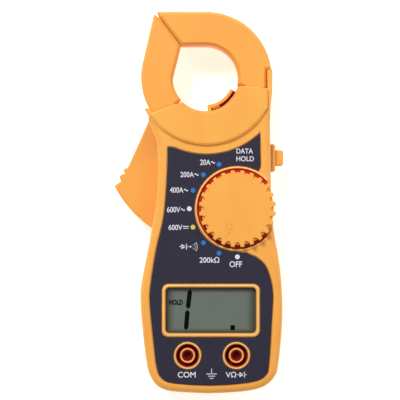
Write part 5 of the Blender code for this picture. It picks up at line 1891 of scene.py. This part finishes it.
@dataclass
class Screws:
    """Pan-head screws with a cross recess, in the back of the case and in the battery door."""

    head_radius: float = 2.5
    shank_radius: float = 1.3

    def shape(self, head_low: float, head_height: float, tip: float) -> Solid:
        """One screw about the origin, its head downwards."""
        head_top = head_low + head_height
        thread: list[Point] = []
        turns = int((tip - 1.4 - head_top - 2.0) / 0.7)
        for i in range(turns):
            z = head_top + 2.0 + 0.7 * i
            thread += [(self.shank_radius - 0.22, z), (self.shank_radius, z + 0.35)]
        profile = [
            (0, head_low),
            (self.head_radius - 0.7, head_low + 0.04),
            (self.head_radius - 0.2, head_low + 0.25),
            (self.head_radius, head_low + 0.6),
            (self.head_radius, head_top),
            (self.shank_radius - 0.2, head_top),
            *thread,
            (self.shank_radius - 0.25, tip - 1.2),
            (0.3, tip),
            (0, tip),
        ]
        screw = Solid.turned("screw", (0.0, 0.0), profile, 32)
        depth = head_low + min(0.8, head_height * 0.7)
        for way in ((1.5, 0.0), (0.0, 1.5)):
            bar = capsule((-way[0], -way[1]), way, 0.32)
            screw.cut(Solid.loft("cross", bar, head_low - 1.0, depth, over=[(0.0, 0.5), (0.1, 0.0)]))
        return screw

    def build(self, copies: CopyTree) -> None:
        """Makes the four case screws, two to a row, and the door's screw.

        Args:
            copies: The tree that repeats them.
        """
        box = Span.of("case_screw_1")
        rows = ((0, 1), (2, 3))
        for number, (first, second) in enumerate(rows, start=1):
            screw = self.plain(self.shape(box.low.z, 1.6, box.high.z))
            start, end = POSTS[first], POSTS[second]
            stride = (*(end - start), 0.0)
            name = f"case_screws_row_{number}"
            mesh = copies.spread(name, screw, STEEL, 2, (*start, 0.0), stride=stride)
            add_piece(name, mesh, Body.CASE, STEEL, f"case_screw_{first + 1}", f"case_screw_{second + 1}")
        door = Span.of("battery_door_screw")
        small = self.plain(self.shape(door.low.z, 0.8, door.high.z))
        mesh = copies.spread("door_screw", small, STEEL, 1, (*DOOR_SCREW, 0.0))
        add_piece("door_screw", mesh, Body.CASE, STEEL, "battery_door_screw")

    def plain(self, screw: Solid) -> Solid:
        """The screw with its cuts applied, ready to be copied."""
        mesh = screw.settle()
        shape = bmesh.new()
        shape.from_mesh(mesh)
        bmesh.ops.scale(shape, vec=Vector((1 / MM,) * 3), verts=shape.verts)
        return Solid("screw", shape)


@dataclass
class InnerParts:
    """Surfaces for the CAD nodes that stay as they are."""

    def finishes(self) -> dict[str, Finish]:
        """The finish of each node by its name."""
        window = (*HOLE, 0.0)
        wound = Wound("enamelled winding", "enamelled_copper", (196, 104, 52), (120, 52, 26), centre=window)
        glass = Display(
            "display glass",
            "display_glass",
            (100, 111, 102),
            # painted shade at the glass's edges, in this colour
            edge=(68, 68, 62),
            centre=tuple(GLASS_BOX.middle),
            half=(WINDOW_BOX.size.x / 2, WINDOW_BOX.size.y / 2),
        )
        made: dict[str, Finish] = {
            "lcd_glass": glass, "circuit_board": BOARD, "trimmer": BLUE, "overload_disc": OCHRE
        }
        made |= dict.fromkeys(("moving_coil", "fixed_coil"), wound)
        made |= dict.fromkeys(("moving_core", "fixed_core"), CORE)
        made |= dict.fromkeys(("com_jack", "volt_jack"), BRASS)
        made |= {f"wiper_contact_{i}": BRASS for i in (1, 2, 3)}
        made |= dict.fromkeys(("lcd_frame", "chip_blob", "buzzer", "contact_carrier", "hold_switch"), DARK)
        made |= dict.fromkeys(("elastomer_strip_lower", "elastomer_strip_upper"), RUBBER)
        made |= dict.fromkeys(("film_capacitor_1", "film_capacitor_2"), OCHRE)
        steel = ["pivot_pin", "jaw_return_spring"]
        for i in (1, 2):
            steel += [f"detent_ball_{i}", f"detent_spring_{i}", f"battery_plate_{i}", f"battery_spring_{i}"]
            cell = Span.of(f"battery_cell_{i}")
            edge = cell.low.y + cell.size.y * 0.72
            made[f"battery_cell_{i}"] = Banded(
                f"cell jacket {i}", "cell_jacket", (38, 42, 60), band=(186, 152, 84), edge_y=edge
            )
        return made | dict.fromkeys(steel, STEEL)

    def build(self) -> None:
        """Dresses the nodes through their objects' material slots."""
        for node, finish in self.finishes().items():
            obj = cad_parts[node]
            for slot in obj.material_slots:
                slot.material = finish.material()
            LOG.info("%s: dressed in %s", node, finish.name)


@dataclass
class Studio:
    """The pale floor, the soft lights and the camera looking straight down on the meter's front."""

    view_middle: Point = (-6.24, 1.04)
    view_width: float = 208.0
    lens: float = 180.0
    sensor: float = 36.0
    floor_drop: float = 0.2
    floor_reach: float = 1500.0

    def floor(self) -> None:
        """Lays the floor, slightly uneven in tone like a paper sweep."""
        reach = self.floor_reach
        sheet = Solid.block(
            "floor", (-reach, -reach, -2.0 - self.floor_drop), (reach, reach, -self.floor_drop)
        )
        mesh = sheet.settle()
        dressing = Dressing("paper floor")
        tone = dressing.noise(9.0, 2.0)
        dressing.feed("Base Color", dressing.blend(tone, linear((252, 252, 252)), linear((255, 255, 255))))
        dressing.feed("Roughness", 0.9)
        dressing.feed("Emission Color", (1.0, 1.0, 1.0, 1.0))
        dressing.feed("Emission Strength", 0.58)
        mesh.materials.clear()
        mesh.materials.append(dressing.material)
        obj = bpy.data.objects.new("floor", mesh)
        bpy.context.scene.collection.objects.link(obj)

    def light(self, name: str, place: Sequence[float], size: float, power: float) -> None:
        """Hangs a soft square light that faces the meter.

        Args:
            name: The light's name.
            place: Where it hangs, in millimetres.
            size: Its side, in millimetres.
            power: Its power, in watts.
        """
        data = bpy.data.lights.new(name, "AREA")
        data.shape = "SQUARE"
        data.size = size * MM
        data.energy = power
        obj = bpy.data.objects.new(name, data)
        obj.location = Vector(place) * MM
        obj.rotation_mode = "QUATERNION"
        obj.rotation_quaternion = (-Vector(place)).to_track_quat("-Z", "Y")
        bpy.context.scene.collection.objects.link(obj)

    def world(self, strength: float) -> None:
        """Surrounds the scene with even white light."""
        world = bpy.data.worlds.new("studio")
        world.use_nodes = True
        sky = world.node_tree.nodes["Background"]
        sky.inputs["Color"].default_value = (1.0, 1.0, 1.0, 1.0)
        sky.inputs["Strength"].default_value = strength
        bpy.context.scene.world = world

    def camera(self) -> None:
        """Sets a long lens straight above the front."""
        data = bpy.data.cameras.new("camera")
        data.sensor_width = self.sensor
        data.lens = self.lens
        height = self.view_width * self.lens / self.sensor
        data.clip_end = 100.0
        obj = bpy.data.objects.new("camera", data)
        obj.location = Vector((*self.view_middle, height + CASE_TOP)) * MM
        bpy.context.scene.collection.objects.link(obj)
        bpy.context.scene.camera = obj

    def build(self) -> None:
        """Sets up everything that isn't part of the meter."""
        self.floor()
        self.world(0.34)
        self.light("key", (-420.0, 760.0, 1080.0), 420.0, 13.2)
        self.light("fill", (800.0, 200.0, 900.0), 700.0, 3.0)
        self.camera()
        bpy.context.scene.view_settings.view_transform = "Standard"


def main() -> None:
    """Builds the meter piece by piece round its frame, then the studio."""
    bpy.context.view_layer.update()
    copies = CopyTree()
    front = FrontCase()
    front.build()
    RearCase(Side.REAR).build()
    BatteryDoor().build(copies)
    Jaws().build()
    SelectorKnob().build()
    HoldButton(front).build()
    FrontLabel().build(copies)
    DisplayFace().build()
    JackPaintedShade().build(front)
    Screws().build(copies)
    InnerParts().build()
    Studio().build()


if __name__ == "__main__":
    logging.basicConfig(level=logging.INFO, format="%(name)s %(message)s")
    main()
